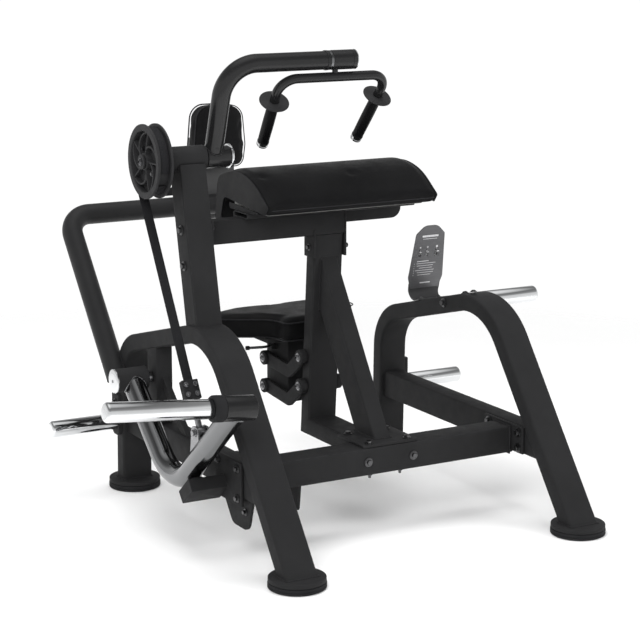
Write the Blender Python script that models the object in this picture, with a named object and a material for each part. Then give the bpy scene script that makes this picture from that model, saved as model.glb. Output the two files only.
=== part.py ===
"""Plate-loaded seated arm-extension machine, modelled as separate parts on shared driving dimensions.

Metres, +Z up. The user sits facing -Y, +X is to the user's right as seen from the front.
Every part is built in the machine's own frame, whose X = 0 is the centre plane and Z = 0 the floor,
and an empty then shifts the whole machine so that the world origin is under its middle.
"""
from math import acos, atan, atan2, cos, pi, radians, sin, sqrt, tan

import bmesh
import bpy
from mathutils import Matrix, Vector

# ---------------------------------------------------------------- driving dimensions

GAP = 0.0003                    # clearance between touching parts
X_DIR = Vector((1.0, 0.0, 0.0))
Y_DIR = Vector((0.0, 1.0, 0.0))
Z_DIR = Vector((0.0, 0.0, 1.0))

# feet
FOOT_RADIUS = 0.074
RUBBER_HEIGHT = 0.0165
FLANGE_HEIGHT = 0.0115
FOOT_HEIGHT = RUBBER_HEIGHT + FLANGE_HEIGHT
FOOT_Y = 0.490

# side arches, one bent rectangular tube each
ARCH_X = 0.428
ARCH_WIDTH = 0.090
ARCH_DEPTH = 0.048
ARCH_APEX = (-0.083, 0.5705)
ARCH_REAR = (0.480, 0.423)
ARCH_FRONT_RADIUS = 0.196
ARCH_REAR_RADIUS = 0.131
TUBE_WALL = 0.003
TUBE_CORNER = 0.006

# base frame
RAIL_WIDTH = 0.060
RAIL_BOTTOM = 0.167
RAIL_TOP = 0.247
CROSS_FRONT = -0.230
CROSS_REAR = -0.150
CROSS_BOTTOM = 0.163
CROSS_TOP = 0.238
PLATE = 0.008

# centre column and its strut
COLUMN_WIDTH = 0.090
COLUMN_DEPTH = 0.048
COLUMN_FOOT = (0.168, 0.204)
COLUMN_LEAN = radians(4.2)
COLUMN_TOP = 0.757
STRUT_WIDTH = 0.050
STRUT_DEPTH = 0.090
STRUT_FOOT_Y = -0.134
STRUT_LEAN = radians(33.1)

# left upright with the main bearing on top
UPRIGHT_X = -0.426
UPRIGHT_WIDTH = 0.076
UPRIGHT_DEPTH = 0.070
UPRIGHT_LEAN = radians(12.0)

# main pivot of the handle arm
PIVOT = Vector((0.0, 0.112, 0.992))
HOUSING_RADIUS = 0.034
HOUSING_BORE = 0.0235
HOUSING_LEFT = -0.4975
HOUSING_RIGHT = -0.379
SHAFT_RADIUS = 0.0125
BEARING_WIDTH = 0.014
PULLEY_X = -0.530
PULLEY_WIDTH = 0.044
PULLEY_RADIUS = 0.0975
BELT_RADIUS = 0.088
BELT_WIDTH = 0.026
BELT_THICKNESS = 0.0035
BELT_WRAP_START = radians(-140)
BELT_WRAP_TURN = radians(335)
BELT_RUN_RADIUS = BELT_RADIUS + BELT_THICKNESS + GAP
CLAMP_REACH = 0.138
CLAMP_LENGTH = 0.050

# handle arm and swivelling handle
ARM_X = -0.350
ARM_LEAN = radians(18.0)
ARM_LENGTH = 0.261
ARM_RADIUS = 0.025
ARM_BEND = 0.090
HUB_RADIUS = 0.029
HUB_LEFT = -0.3745
HUB_RIGHT = -0.308
HANDLE_X = -0.0245
SLEEVE_LEFT = -0.0395
SLEEVE_RIGHT = 0.0355
SLEEVE_RADIUS = 0.0265
STEM_LENGTH = 0.045
BAR_RADIUS = 0.013
BAR_HALF = 0.1655
BAR_BEND = 0.048
GRIP_DIRECTION = Vector((0.08, 0.598, -0.797)).normalized()
GRIP_START = 0.076
GRIP_END = 0.226
BAR_END = 0.239
GRIP_RADIUS = 0.0165
STOP_RADIUS = 0.041

# weight arm, a V-shaped tube outside the left arch
WEIGHT_X = -0.530
WEIGHT_PIVOT = (0.262, 0.377)
WEIGHT_CORNER = (-0.0125, 0.135)
WEIGHT_TIP = (-0.378, 0.442)
WEIGHT_RADIUS = 0.030
WEIGHT_BEND = 0.140
WEIGHT_HUB_RADIUS = 0.0325
HORN_RADIUS = 0.025
HORN_REACH = 0.3543              # from the arm's middle plane to the horn's end, along the horn
HORN_AXIS = Vector((-cos(radians(5.5)), 0.0, sin(radians(5.5))))
HORN_TIP_X = -0.885
LINK_PIN = (-0.165, 0.330)
BUMPER_HEIGHT = 0.010

# seat and its parallel linkage
SEAT_TOP = 0.502
SEAT_BOTTOM = 0.441
LINK_FRONT_Y = 0.163
LINK_REAR_Y = 0.378
LINK_UPPER_Z = (0.405, 0.360)
LINK_LOWER_Z = (0.322, 0.277)
LINK_X = 0.054
LINK_THICKNESS = 0.010
LINK_HEIGHT = 0.038
LINK_BOSS_RADIUS = 0.021
LINK_PIN_RADIUS = 0.009
LEVER_HUB_RADIUS = 0.008

# arm pad
PAD_HALF = 0.265
PAD_BEAM_Y = (0.100, 0.150)
PAD_BEAM_TOP = 0.822
PAD_SUPPORT_HEIGHT = 0.016
PAD_UNDER_FRONT = (-0.020, 0.838)
PAD_UNDER_REAR = (0.219, 0.860)

# back rest boom
BOOM_X = -0.492
BOOM_FOOT = (0.452, 0.335)
BOOM_CORNER = (0.797, 0.751)
BOOM_RADIUS = 0.030
BACK_POST_FRONT = BOOM_CORNER[0] + BOOM_RADIUS + GAP
BACK_POST_DEPTH = 0.024

# storage horns
STORE_LENGTH = 0.211

# instruction plate
PLACARD_X = 0.434
PLACARD_FOOT = (0.245, 0.309)
PLACARD_NECK = 0.040
PLACARD_BEND = 0.022
PLACARD_WIDTH = 0.120
PLACARD_HEIGHT = 0.196
PLACARD_SHEET = 0.003
PLACARD_LEAN = radians(11.5)

# the machine's extents, used to centre it on the world origin
LEFT_END = HORN_TIP_X
RIGHT_END = ARCH_X + ARCH_WIDTH / 2 + GAP + STORE_LENGTH
FRONT_END = -FOOT_Y - FOOT_RADIUS
REAR_END = BACK_POST_FRONT + BACK_POST_DEPTH
CENTRE = Vector((-(LEFT_END + RIGHT_END) / 2, -(FRONT_END + REAR_END) / 2, 0.0))

# ---------------------------------------------------------------- scene helpers


def clear_scene():
    for obj in list(bpy.data.objects):
        bpy.data.objects.remove(obj, do_unlink=True)


def make_material(name, colour, roughness, metallic):
    mat = bpy.data.materials.new(name)
    mat.use_nodes = True
    shader = mat.node_tree.nodes["Principled BSDF"]
    shader.inputs["Base Color"].default_value = (*colour, 1.0)
    shader.inputs["Roughness"].default_value = roughness
    shader.inputs["Metallic"].default_value = metallic
    return mat


def add_object(name, mesh_data, mat, origin, smooth=False):
    """Link a mesh built in machine coordinates as an object whose origin is the given point."""
    bmesh.ops.remove_doubles(mesh_data, verts=mesh_data.verts, dist=1e-6)
    bmesh.ops.recalc_face_normals(mesh_data, faces=mesh_data.faces)
    bmesh.ops.translate(mesh_data, verts=mesh_data.verts, vec=-Vector(origin))
    mesh = bpy.data.meshes.new(name)
    mesh_data.to_mesh(mesh)
    mesh_data.free()
    if smooth:
        mesh.shade_smooth()
        mesh.set_sharp_from_angle(angle=radians(35))
    obj = bpy.data.objects.new(name, mesh)
    obj.location = origin
    obj.parent = machine
    mesh.materials.append(mat)
    bpy.context.scene.collection.objects.link(obj)
    return obj


def combine(obj, cutter, operation):
    """Add a Boolean that unites the object with a cutter or cuts the cutter away."""
    cutter.hide_render = True
    cutter.display_type = "WIRE"
    modifier = obj.modifiers.new(cutter.name, "BOOLEAN")
    modifier.operation = operation
    modifier.object = cutter
    modifier.solver = "EXACT"
    return obj


def soften(obj, width, segments=2):
    modifier = obj.modifiers.new("soft_edges", "BEVEL")
    modifier.width = width
    modifier.segments = segments
    modifier.limit_method = "ANGLE"
    modifier.angle_limit = radians(40)
    return obj


# ---------------------------------------------------------------- shape builders


def yz(point, x=0.0):
    """A machine point from its (y, z) pair and an x."""
    return Vector((x, point[0], point[1]))


def circle_loop(radius, count=20):
    return [(radius * cos(2 * pi * i / count), radius * sin(2 * pi * i / count)) for i in range(count)]


def rectangle_loop(width, height, radius=TUBE_CORNER, steps=2):
    """A rounded rectangle, counter-clockwise, as (across, along) pairs."""
    loop = []
    corners = ((1, 1, 0), (-1, 1, 90), (-1, -1, 180), (1, -1, 270))
    for side_x, side_y, start in corners:
        for i in range(steps + 1):
            angle = radians(start + 90 * i / steps)
            loop.append((side_x * (width / 2 - radius) + radius * cos(angle),
                         side_y * (height / 2 - radius) + radius * sin(angle)))
    return loop


def stations_along(corners, radii, step=radians(12)):
    """Stations (point, tangent, mitre) along runs joined by arcs, or mitred where a radius is 0."""
    points = [Vector(c) for c in corners]
    stations = [(points[0], (points[1] - points[0]).normalized(), 1.0)]
    for i, radius in enumerate(radii, start=1):
        before = (points[i] - points[i - 1]).normalized()
        after = (points[i + 1] - points[i]).normalized()
        turn = before.angle(after)
        if radius == 0.0:
            stations.append((points[i], (before + after).normalized(), 1.0 / cos(turn / 2)))
            continue
        axis = before.cross(after).normalized()
        start = points[i] - before * radius * tan(turn / 2)
        centre = start + axis.cross(before) * radius
        count = max(3, round(turn / step))
        for k in range(count + 1):
            spin = Matrix.Rotation(turn * k / count, 3, axis)
            stations.append((centre + spin @ (start - centre), spin @ before, 1.0))
    stations.append((points[-1], (points[-1] - points[-2]).normalized(), 1.0))
    return stations


def sweep_mesh(stations, binormal, outer, inner=None, start_plane=None, end_plane=None):
    """Sweep a loop, or a hollow pair of loops, along stations that lie in one plane.

    A loop's first coordinate runs along the binormal, its second across it. An end plane's normal
    tilts that end's face about its station.
    """
    mesh_data = bmesh.new()
    loops = [outer] if inner is None else [outer, inner]
    tilts = {0: start_plane, len(stations) - 1: end_plane}
    rings = []
    for loop in loops:
        loop_rings = []
        for index, (point, tangent, mitre) in enumerate(stations):
            across = binormal.cross(tangent).normalized() * mitre
            ring = []
            for u, v in loop:
                corner = point + binormal * u + across * v
                tilt = tilts.get(index)
                if tilt is not None:
                    corner = corner + tangent * ((point - corner).dot(tilt) / tangent.dot(tilt))
                ring.append(mesh_data.verts.new(corner))
            loop_rings.append(ring)
        rings.append(loop_rings)
    for loop_rings in rings:
        count = len(loop_rings[0])
        for first, second in zip(loop_rings, loop_rings[1:]):
            for i in range(count):
                j = (i + 1) % count
                mesh_data.faces.new((first[i], first[j], second[j], second[i]))
    for end in (0, -1):
        if inner is None:
            mesh_data.faces.new(rings[0][end])
            continue
        count = len(outer)
        for i in range(count):
            j = (i + 1) % count
            mesh_data.faces.new((rings[0][end][i], rings[0][end][j], rings[1][end][j], rings[1][end][i]))
    return mesh_data


def rect_tube(name, mat, stations, binormal, width, depth, start_plane=None, end_plane=None):
    """A hollow rectangular tube: its width lies along the binormal."""
    outer = rectangle_loop(width, depth)
    inner = rectangle_loop(width - 2 * TUBE_WALL, depth - 2 * TUBE_WALL, TUBE_CORNER - TUBE_WALL)
    mesh_data = sweep_mesh(stations, binormal, outer, inner, start_plane, end_plane)
    return add_object(name, mesh_data, mat, stations[0][0], smooth=True)


def rect_block(name, stations, binormal, width, depth, start_plane=None, end_plane=None):
    """A solid of a rectangular tube's outside, grown by the gap, to cut neighbours with."""
    outer = rectangle_loop(width + 2 * GAP, depth + 2 * GAP)
    mesh_data = sweep_mesh(stations, binormal, outer, None, start_plane, end_plane)
    return add_object(name, mesh_data, steel, stations[0][0])


def round_bar(name, mat, corners, radii, binormal, radius, wall=None, origin=None, count=20):
    """A round tube or bar along a path of straight runs and bends."""
    stations = stations_along(corners, radii)
    inner = None if wall is None else circle_loop(radius - wall, count)
    mesh_data = sweep_mesh(stations, binormal, circle_loop(radius, count), inner)
    return add_object(name, mesh_data, mat, corners[0] if origin is None else origin, smooth=True)


def turned(name, mat, centre, axis, profile, origin=None, count=20, hollow=False):
    """A turned part from profile pairs (along, radius): closed on itself if hollow, else by flat ends."""
    mesh_data = bmesh.new()
    side = axis.orthogonal().normalized()
    up = axis.cross(side).normalized()
    rings = []
    for along, radius in profile:
        circle = []
        for i in range(count):
            angle = 2 * pi * i / count
            radial = (side * cos(angle) + up * sin(angle)) * radius
            circle.append(mesh_data.verts.new(Vector(centre) + axis * along + radial))
        rings.append(circle)
    pairs = list(zip(rings, rings[1:]))
    if hollow:
        pairs.append((rings[-1], rings[0]))
    else:
        mesh_data.faces.new(rings[0])
        mesh_data.faces.new(rings[-1])
    for first, second in pairs:
        for i in range(count):
            j = (i + 1) % count
            mesh_data.faces.new((first[i], first[j], second[j], second[i]))
    return add_object(name, mesh_data, mat, centre if origin is None else origin, smooth=True)


def disc(name, mat, centre, axis, radius, length, edge=0.001, origin=None, count=20):
    """A solid cylinder with chamfered rims, from its centre along the axis."""
    profile = ((0, radius - edge), (edge, radius), (length - edge, radius), (length, radius - edge))
    return turned(name, mat, centre, axis, profile, origin, count)


def ring(name, mat, centre, axis, outer, inner, length, edge=0.0006, origin=None, count=20):
    profile = ((0, inner), (0, outer - edge), (edge, outer), (length - edge, outer), (length, outer - edge),
               (length, inner))
    return turned(name, mat, centre, axis, profile, origin, count, True)


def box(name, mat, low, high, edge=0.0, origin=None):
    mesh_data = bmesh.new()
    bmesh.ops.create_cube(mesh_data, size=1.0)
    low = Vector(low)
    high = Vector(high)
    size = high - low
    for vert in mesh_data.verts:
        vert.co = Vector((vert.co.x * size.x, vert.co.y * size.y, vert.co.z * size.z)) + (low + high) / 2
    obj = add_object(name, mesh_data, mat, (low + high) / 2 if origin is None else origin)
    return soften(obj, edge) if edge else obj


def rounded_outline(corners, radii, step=radians(15)):
    """A closed 2-D outline whose corners are arcs of the given radii."""
    outline = []
    count = len(corners)
    for i, radius in enumerate(radii):
        here = Vector(corners[i])
        before = (here - Vector(corners[i - 1])).normalized()
        after = (Vector(corners[(i + 1) % count]) - here).normalized()
        turn = before.angle_signed(after)
        if radius == 0.0:
            outline.append(tuple(here))
            continue
        reach = radius * tan(abs(turn) / 2)
        start = here - before * reach
        side = Vector((before.y, -before.x)) * (1 if turn > 0 else -1)
        centre = start + side * radius
        steps = max(2, round(abs(turn) / step))
        for k in range(steps + 1):
            spin = Matrix.Rotation(-turn * k / steps, 2)
            outline.append(tuple(centre + spin @ (start - centre)))
    return outline


def extrude_frame(name, mat, outline, corner, across, up, depth, edge=0.0, origin=None, segments=2,
                  smooth=False):
    """Extrude an outline drawn on the plane of two directions through a corner, by a depth vector."""
    mesh_data = bmesh.new()
    first = [mesh_data.verts.new(corner + across * a + up * b) for a, b in outline]
    second = [mesh_data.verts.new(corner + across * a + up * b + depth) for a, b in outline]
    mesh_data.faces.new(first)
    mesh_data.faces.new(second)
    for i in range(len(outline)):
        j = (i + 1) % len(outline)
        mesh_data.faces.new((first[i], first[j], second[j], second[i]))
    obj = add_object(name, mesh_data, mat, corner if origin is None else origin, smooth)
    return soften(obj, edge, segments) if edge else obj


def extrude_outline(name, mat, outline, axis, low, high, edge=0.0, origin=None, segments=2, smooth=False):
    """Extrude an outline along a world axis. The outline is (y, z) for X, (x, z) for Y and (x, y) for Z."""
    across, up, along = {"X": (Y_DIR, Z_DIR, X_DIR), "Y": (X_DIR, Z_DIR, Y_DIR),
                         "Z": (X_DIR, Y_DIR, Z_DIR)}[axis]
    return extrude_frame(name, mat, outline, along * low, across, up, along * (high - low), edge, origin,
                         segments,
                         smooth)


# ---------------------------------------------------------------- frame parts


def arch_path(x):
    corners = (yz((-FOOT_Y, FOOT_HEIGHT), x), yz(ARCH_APEX, x), yz(ARCH_REAR, x),
               yz((FOOT_Y, FOOT_HEIGHT), x))
    return stations_along(corners, (ARCH_FRONT_RADIUS, ARCH_REAR_RADIUS))


def build_arch(name, x):
    """One bent tube on two foot flanges, whose centre holes keep its inside open to the air."""
    arch = rect_tube(name, steel, arch_path(x), X_DIR, ARCH_WIDTH, ARCH_DEPTH, Z_DIR, Z_DIR)
    for label, y in (("front", -FOOT_Y), ("rear", FOOT_Y)):
        base = Vector((x, y, RUBBER_HEIGHT + GAP))
        flange = ring(f"{name}_{label}_flange", steel, base, Z_DIR, FOOT_RADIUS - 0.001, 0.012,
                      FLANGE_HEIGHT - GAP + 0.001, 0.003, count=32)
        combine(arch, flange, "UNION")
    return arch


def build_foot(name, x, y):
    """A rubber foot with a shallow groove round its rim."""
    radius = FOOT_RADIUS
    height = RUBBER_HEIGHT
    profile = ((0, radius - 0.003), (0.003, radius), (height - 0.004, radius),
               (height - 0.002, radius - 0.0015),
               (height, radius - 0.0015))
    turned(name, rubber, (x, y, 0.0), Z_DIR, profile, count=32)


def leg_face(foot_y, corner, z, side):
    """A point's y on a leg's front (side -1) or rear (side 1) face at a height, and the leg's lean."""
    slope = (corner[0] - foot_y) / (corner[1] - FOOT_HEIGHT)
    centre = foot_y + slope * (z - FOOT_HEIGHT)
    return centre + side * (ARCH_DEPTH / 2 + GAP) * sqrt(1 + slope * slope), atan(slope)


def build_rail(name, x):
    """A side rail between the two legs of an arch, cut to fit each leg's slope."""
    middle = (RAIL_BOTTOM + RAIL_TOP) / 2
    front_y, front_lean = leg_face(-FOOT_Y, ARCH_APEX, middle, 1)
    rear_y, rear_lean = leg_face(FOOT_Y, ARCH_REAR, middle, -1)
    stations = stations_along((Vector((x, front_y, middle)), Vector((x, rear_y, middle))), ())
    return rect_tube(name, steel, stations, X_DIR, RAIL_WIDTH, RAIL_TOP - RAIL_BOTTOM,
                     Vector((0.0, cos(front_lean), -sin(front_lean))),
                     Vector((0.0, cos(rear_lean), -sin(rear_lean))))


def build_crossbeam():
    """The square beam between the side rails, with a bolting flange on each end."""
    inner_x = ARCH_X - RAIL_WIDTH / 2 - GAP
    y = (CROSS_FRONT + CROSS_REAR) / 2
    z = (CROSS_BOTTOM + CROSS_TOP) / 2
    reach = inner_x - PLATE / 2
    stations = stations_along((Vector((-reach, y, z)), Vector((reach, y, z))), ())
    beam = rect_tube("crossbeam", steel, stations, Y_DIR, CROSS_REAR - CROSS_FRONT,
                     CROSS_TOP - CROSS_BOTTOM)
    for side in (-1, 1):
        ends = sorted((side * inner_x, side * (inner_x - PLATE)))
        flange = box(f"crossbeam_flange_{side}", steel, (ends[0], -0.281, 0.169), (ends[1], -0.096, 0.2445),
                     0.0015)
        hole = disc(f"crossbeam_flange_hole_{side}", steel, (ends[0] - 0.01, y, z), X_DIR, 0.014, 0.03)
        combine(flange, hole, "DIFFERENCE")
        combine(beam, flange, "UNION")
    lug_outline = rounded_outline(((-0.222, 0.168), (-0.150, 0.168), (-0.160, 0.092), (-0.212, 0.092)),
                                  (0.0, 0.0, 0.012, 0.012))
    lug = extrude_outline("crossbeam_lug", steel, lug_outline, "X", -0.276, -0.268, 0.001)
    combine(beam, lug, "UNION")
    return beam


def column_centre_y(z):
    return COLUMN_FOOT[0] - tan(COLUMN_LEAN) * (z - COLUMN_FOOT[1])


def build_column():
    """The beam from the crossbeam and the column on it, mitred into one tube, with its flange."""
    front = yz((CROSS_REAR + PLATE + GAP - 0.002, COLUMN_FOOT[1]))
    top = yz((column_centre_y(COLUMN_TOP - GAP), COLUMN_TOP - GAP))
    stations = stations_along((front, yz(COLUMN_FOOT), top), (0.0,))
    column = rect_tube("centre_column", steel, stations, X_DIR, COLUMN_WIDTH, COLUMN_DEPTH, None, Z_DIR)
    flange = box("column_flange", steel, (-0.085, CROSS_REAR + GAP, CROSS_BOTTOM + 0.001),
                 (0.085, CROSS_REAR + GAP + PLATE, CROSS_TOP - 0.001), 0.001)
    hole = disc("column_flange_hole", steel, yz((CROSS_REAR - 0.01, COLUMN_FOOT[1])), Y_DIR, 0.012, 0.03)
    combine(flange, hole, "DIFFERENCE")
    combine(column, flange, "UNION")
    for label, z in (("upper", LINK_UPPER_Z[0]), ("lower", LINK_LOWER_Z[0])):
        bore = disc(f"column_{label}_bore", steel, Vector((-0.1, LINK_FRONT_Y, z)), X_DIR,
                    LINK_PIN_RADIUS + GAP, 0.2)
        combine(column, bore, "DIFFERENCE")
    return column


def build_strut():
    """The deep strut from the crossbeam's top up to the column's front face."""
    plate_top = CROSS_TOP + PLATE
    foot = yz((STRUT_FOOT_Y, plate_top - 0.002))
    rise = 0.6
    top = foot + Vector((0.0, sin(STRUT_LEAN), cos(STRUT_LEAN))) * rise
    face_normal = Vector((0.0, cos(COLUMN_LEAN), sin(COLUMN_LEAN)))
    face_point = yz((column_centre_y(COLUMN_TOP), COLUMN_TOP)) - face_normal * (COLUMN_DEPTH / 2 + GAP)
    direction = (top - foot).normalized()
    top = foot + direction * ((face_point - foot).dot(face_normal) / direction.dot(face_normal))
    stations = stations_along((foot, top), ())
    strut = rect_tube("column_strut", steel, stations, X_DIR, STRUT_WIDTH, STRUT_DEPTH, Z_DIR, face_normal)
    plate = box("strut_plate", steel, (-0.084, CROSS_FRONT + 0.003, CROSS_TOP + GAP),
                (0.084, CROSS_REAR + 0.062, plate_top), 0.001)
    hole = disc("strut_plate_hole", steel, yz((STRUT_FOOT_Y, CROSS_TOP - 0.01)), Z_DIR, 0.012, 0.03)
    combine(plate, hole, "DIFFERENCE")
    return combine(strut, plate, "UNION")


def upright_path():
    axis = Vector((0.0, sin(UPRIGHT_LEAN), cos(UPRIGHT_LEAN)))
    top = PIVOT + Vector((UPRIGHT_X, 0.0, 0.0)) - axis * 0.018
    return top - axis * 0.46, top


def build_upright():
    """The left upright: a tube that stands on the arch and cradles the bearing housing."""
    foot, top = upright_path()
    upright = rect_tube("left_upright", steel, stations_along((foot, top), ()), X_DIR, UPRIGHT_WIDTH,
                        UPRIGHT_DEPTH)
    combine(upright, rect_block("upright_foot_cutter", arch_path(-ARCH_X), X_DIR, ARCH_WIDTH, ARCH_DEPTH,
                                Z_DIR, Z_DIR), "DIFFERENCE")
    below = box("upright_waste_cutter", steel, (-0.52, -0.20, 0.40), (-0.35, 0.20, 0.545))
    combine(upright, below, "DIFFERENCE")
    cradle = disc("upright_cradle_cutter", steel, PIVOT + X_DIR * -0.60, X_DIR, HOUSING_RADIUS + GAP, 0.40)
    return combine(upright, cradle, "DIFFERENCE")


def build_housing():
    """The bearing housing: a tube with a shoulder between its two bearing seats."""
    seat = BEARING_WIDTH + 0.002
    length = HOUSING_RIGHT - HOUSING_LEFT
    bore = HOUSING_BORE
    waist = HOUSING_BORE - 0.004
    outer = HOUSING_RADIUS
    profile = ((0, bore), (0, outer - 0.001), (0.001, outer), (length - 0.001, outer),
               (length, outer - 0.001),
               (length, bore), (length - seat, bore), (length - seat, waist), (seat, waist), (seat, bore))
    turned("bearing_housing", steel, PIVOT + X_DIR * HOUSING_LEFT, X_DIR, profile, hollow=True)
    for name, start in (("outer_bearing", HOUSING_LEFT + 0.0012),
                        ("inner_bearing", HOUSING_RIGHT - 0.0012 - BEARING_WIDTH)):
        ring(name, bare_steel, PIVOT + X_DIR * start, X_DIR, bore - GAP, SHAFT_RADIUS + GAP, BEARING_WIDTH)


def build_top_beam():
    """The beam from the upright to the column's head, with its flange, end plate and cheek."""
    low, high = PAD_BEAM_Y
    y = (low + high) / 2
    z = (COLUMN_TOP + PAD_BEAM_TOP) / 2
    left = UPRIGHT_X + UPRIGHT_WIDTH / 2 + GAP
    right = COLUMN_WIDTH / 2 + GAP
    stations = stations_along((Vector((left + 0.004, y, z)), Vector((right + 0.002, y, z))), ())
    beam = rect_tube("top_beam", steel, stations, Y_DIR, high - low, PAD_BEAM_TOP - COLUMN_TOP)
    flange = box("top_beam_flange", steel, (left, 0.046, 0.700), (left + 0.006, high + 0.006, 0.832), 0.001)
    hole = disc("top_beam_hole", steel, Vector((left - 0.01, y, z)), X_DIR, 0.012, 0.03)
    combine(flange, hole, "DIFFERENCE")
    end_plate = box("top_beam_end", steel, (right, low - 0.002, 0.695), (right + 0.006, high, 0.821), 0.001)
    cheek = box("top_beam_cheek", steel, (-right - 0.006, low - 0.002, 0.695),
                (-right, high + 0.005, 0.775), 0.001)
    for piece in (flange, end_plate, cheek):
        combine(beam, piece, "UNION")
    return beam


def build_boom():
    """The back rest's boom: one bent tube from the left arch to the middle."""
    foot = yz(BOOM_FOOT, BOOM_X)
    corner = yz(BOOM_CORNER, BOOM_X)
    end = yz(BOOM_CORNER, 0.075)
    binormal = (corner - foot).cross(X_DIR).normalized()
    boom = round_bar("backrest_boom", steel, (foot, corner, end), (0.068,), binormal, BOOM_RADIUS, 0.003)
    cutter = rect_block("boom_foot_cutter", arch_path(-ARCH_X), X_DIR, ARCH_WIDTH, ARCH_DEPTH, Z_DIR, Z_DIR)
    combine(boom, cutter, "DIFFERENCE")
    plug = disc("boom_end_plug", steel, end - X_DIR * 0.004, X_DIR, BOOM_RADIUS + 0.001, 0.008)
    drain = disc("boom_drain", steel, end - X_DIR * 0.02, X_DIR, 0.004, 0.04)
    combine(plug, drain, "DIFFERENCE")
    return combine(boom, plug, "UNION")


# ---------------------------------------------------------------- handle arm group


def arm_point(distance, x):
    return PIVOT + Vector((x, -sin(ARM_LEAN) * distance, cos(ARM_LEAN) * distance))


def build_handle_arm():
    """The swinging arm: hub, bent tube and the spigot that carries the handle's sleeve."""
    corner = arm_point(ARM_LENGTH, ARM_X)
    end = arm_point(ARM_LENGTH, SLEEVE_LEFT - GAP)
    binormal = (corner - PIVOT - X_DIR * ARM_X).cross(X_DIR).normalized()
    start = arm_point(0.012, ARM_X)
    arm = round_bar("handle_arm", steel, (start, corner, end), (ARM_BEND,), binormal, ARM_RADIUS, None,
                    PIVOT)
    hub = ring("arm_hub", steel, PIVOT + X_DIR * HUB_LEFT, X_DIR, HUB_RADIUS, SHAFT_RADIUS + GAP,
               HUB_RIGHT - HUB_LEFT, 0.001)
    bore = disc("arm_bore", steel, PIVOT + X_DIR * (HUB_LEFT - 0.01), X_DIR, SHAFT_RADIUS + GAP, 0.10)
    combine(arm, hub, "UNION")
    combine(arm, bore, "DIFFERENCE")
    collar = disc("arm_collar", steel, end - X_DIR * 0.018, X_DIR, ARM_RADIUS + 0.0018, 0.018)
    spigot = disc("arm_spigot", steel, end - X_DIR * 0.02, X_DIR, 0.012, 0.078)
    combine(arm, collar, "UNION")
    combine(arm, spigot, "UNION")
    disc("arm_end_cap", chrome, PIVOT + X_DIR * (HUB_RIGHT + GAP), X_DIR, 0.0325, 0.009, 0.003, PIVOT)
    return arm


def build_shaft():
    """The pivot shaft, keyed to the arm's hub and to the pulley, so it turns with both."""
    start = PULLEY_X - PULLEY_WIDTH / 2 + 0.001
    disc("pivot_shaft", bare_steel, PIVOT + X_DIR * start, X_DIR, SHAFT_RADIUS, HUB_RIGHT - start - 0.001,
         0.001, PIVOT)


def build_pulley():
    """The cable pulley: rimmed drum with five curved pockets through its web."""
    half = PULLEY_WIDTH / 2
    web = 0.007
    bore = SHAFT_RADIUS + GAP
    hub = 0.030
    rim_in = 0.078
    drum = BELT_RADIUS - 0.004
    groove = BELT_WIDTH / 2 + 0.002
    profile = ((-half, bore), (-half, hub - 0.002), (-half + 0.002, hub), (-web, hub), (-web, rim_in),
               (-half, rim_in), (-half, PULLEY_RADIUS - 0.003), (-half + 0.003, PULLEY_RADIUS),
               (-groove - 0.001, PULLEY_RADIUS), (-groove, PULLEY_RADIUS - 0.001), (-groove, drum),
               (groove, drum), (groove, PULLEY_RADIUS - 0.001), (groove + 0.001, PULLEY_RADIUS),
               (half - 0.003, PULLEY_RADIUS), (half, PULLEY_RADIUS - 0.003), (half, rim_in), (web, rim_in),
               (web, hub), (half - 0.002, hub), (half, hub - 0.002), (half, bore))
    centre = PIVOT + X_DIR * PULLEY_X
    pulley = turned("pulley", moulded, centre, X_DIR, profile, PIVOT, 30, True)
    for k in range(5):
        pocket = build_pocket(f"pulley_pocket_{k}", centre, 2 * pi * k / 5)
        combine(pulley, pocket, "DIFFERENCE")
    start = PULLEY_X - half - GAP - 0.006
    disc("pulley_retainer", steel, PIVOT + X_DIR * start, X_DIR, 0.021, 0.006, 0.001, PIVOT)


def build_pocket(name, centre, turn):
    """A swept, drop-shaped pocket between two curved spokes."""
    outline = []
    inner, outer = 0.036, 0.072
    steps = 6
    for i in range(steps + 1):
        radius = inner + (outer - inner) * i / steps
        sweep_angle = turn + 0.55 * i / steps
        outline.append((radius * cos(sweep_angle), radius * sin(sweep_angle)))
    for i in range(steps, -1, -1):
        radius = inner + (outer - inner) * i / steps
        sweep_angle = turn + 0.30 + 0.95 * i / steps
        outline.append((radius * cos(sweep_angle), radius * sin(sweep_angle)))
    moved = [(PIVOT.y + a, PIVOT.z + b) for a, b in outline]
    return extrude_outline(name, moulded, moved, "X", centre.x - 0.02, centre.x + 0.02)


def sleeve_centre():
    return arm_point(ARM_LENGTH, 0.0)


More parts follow.
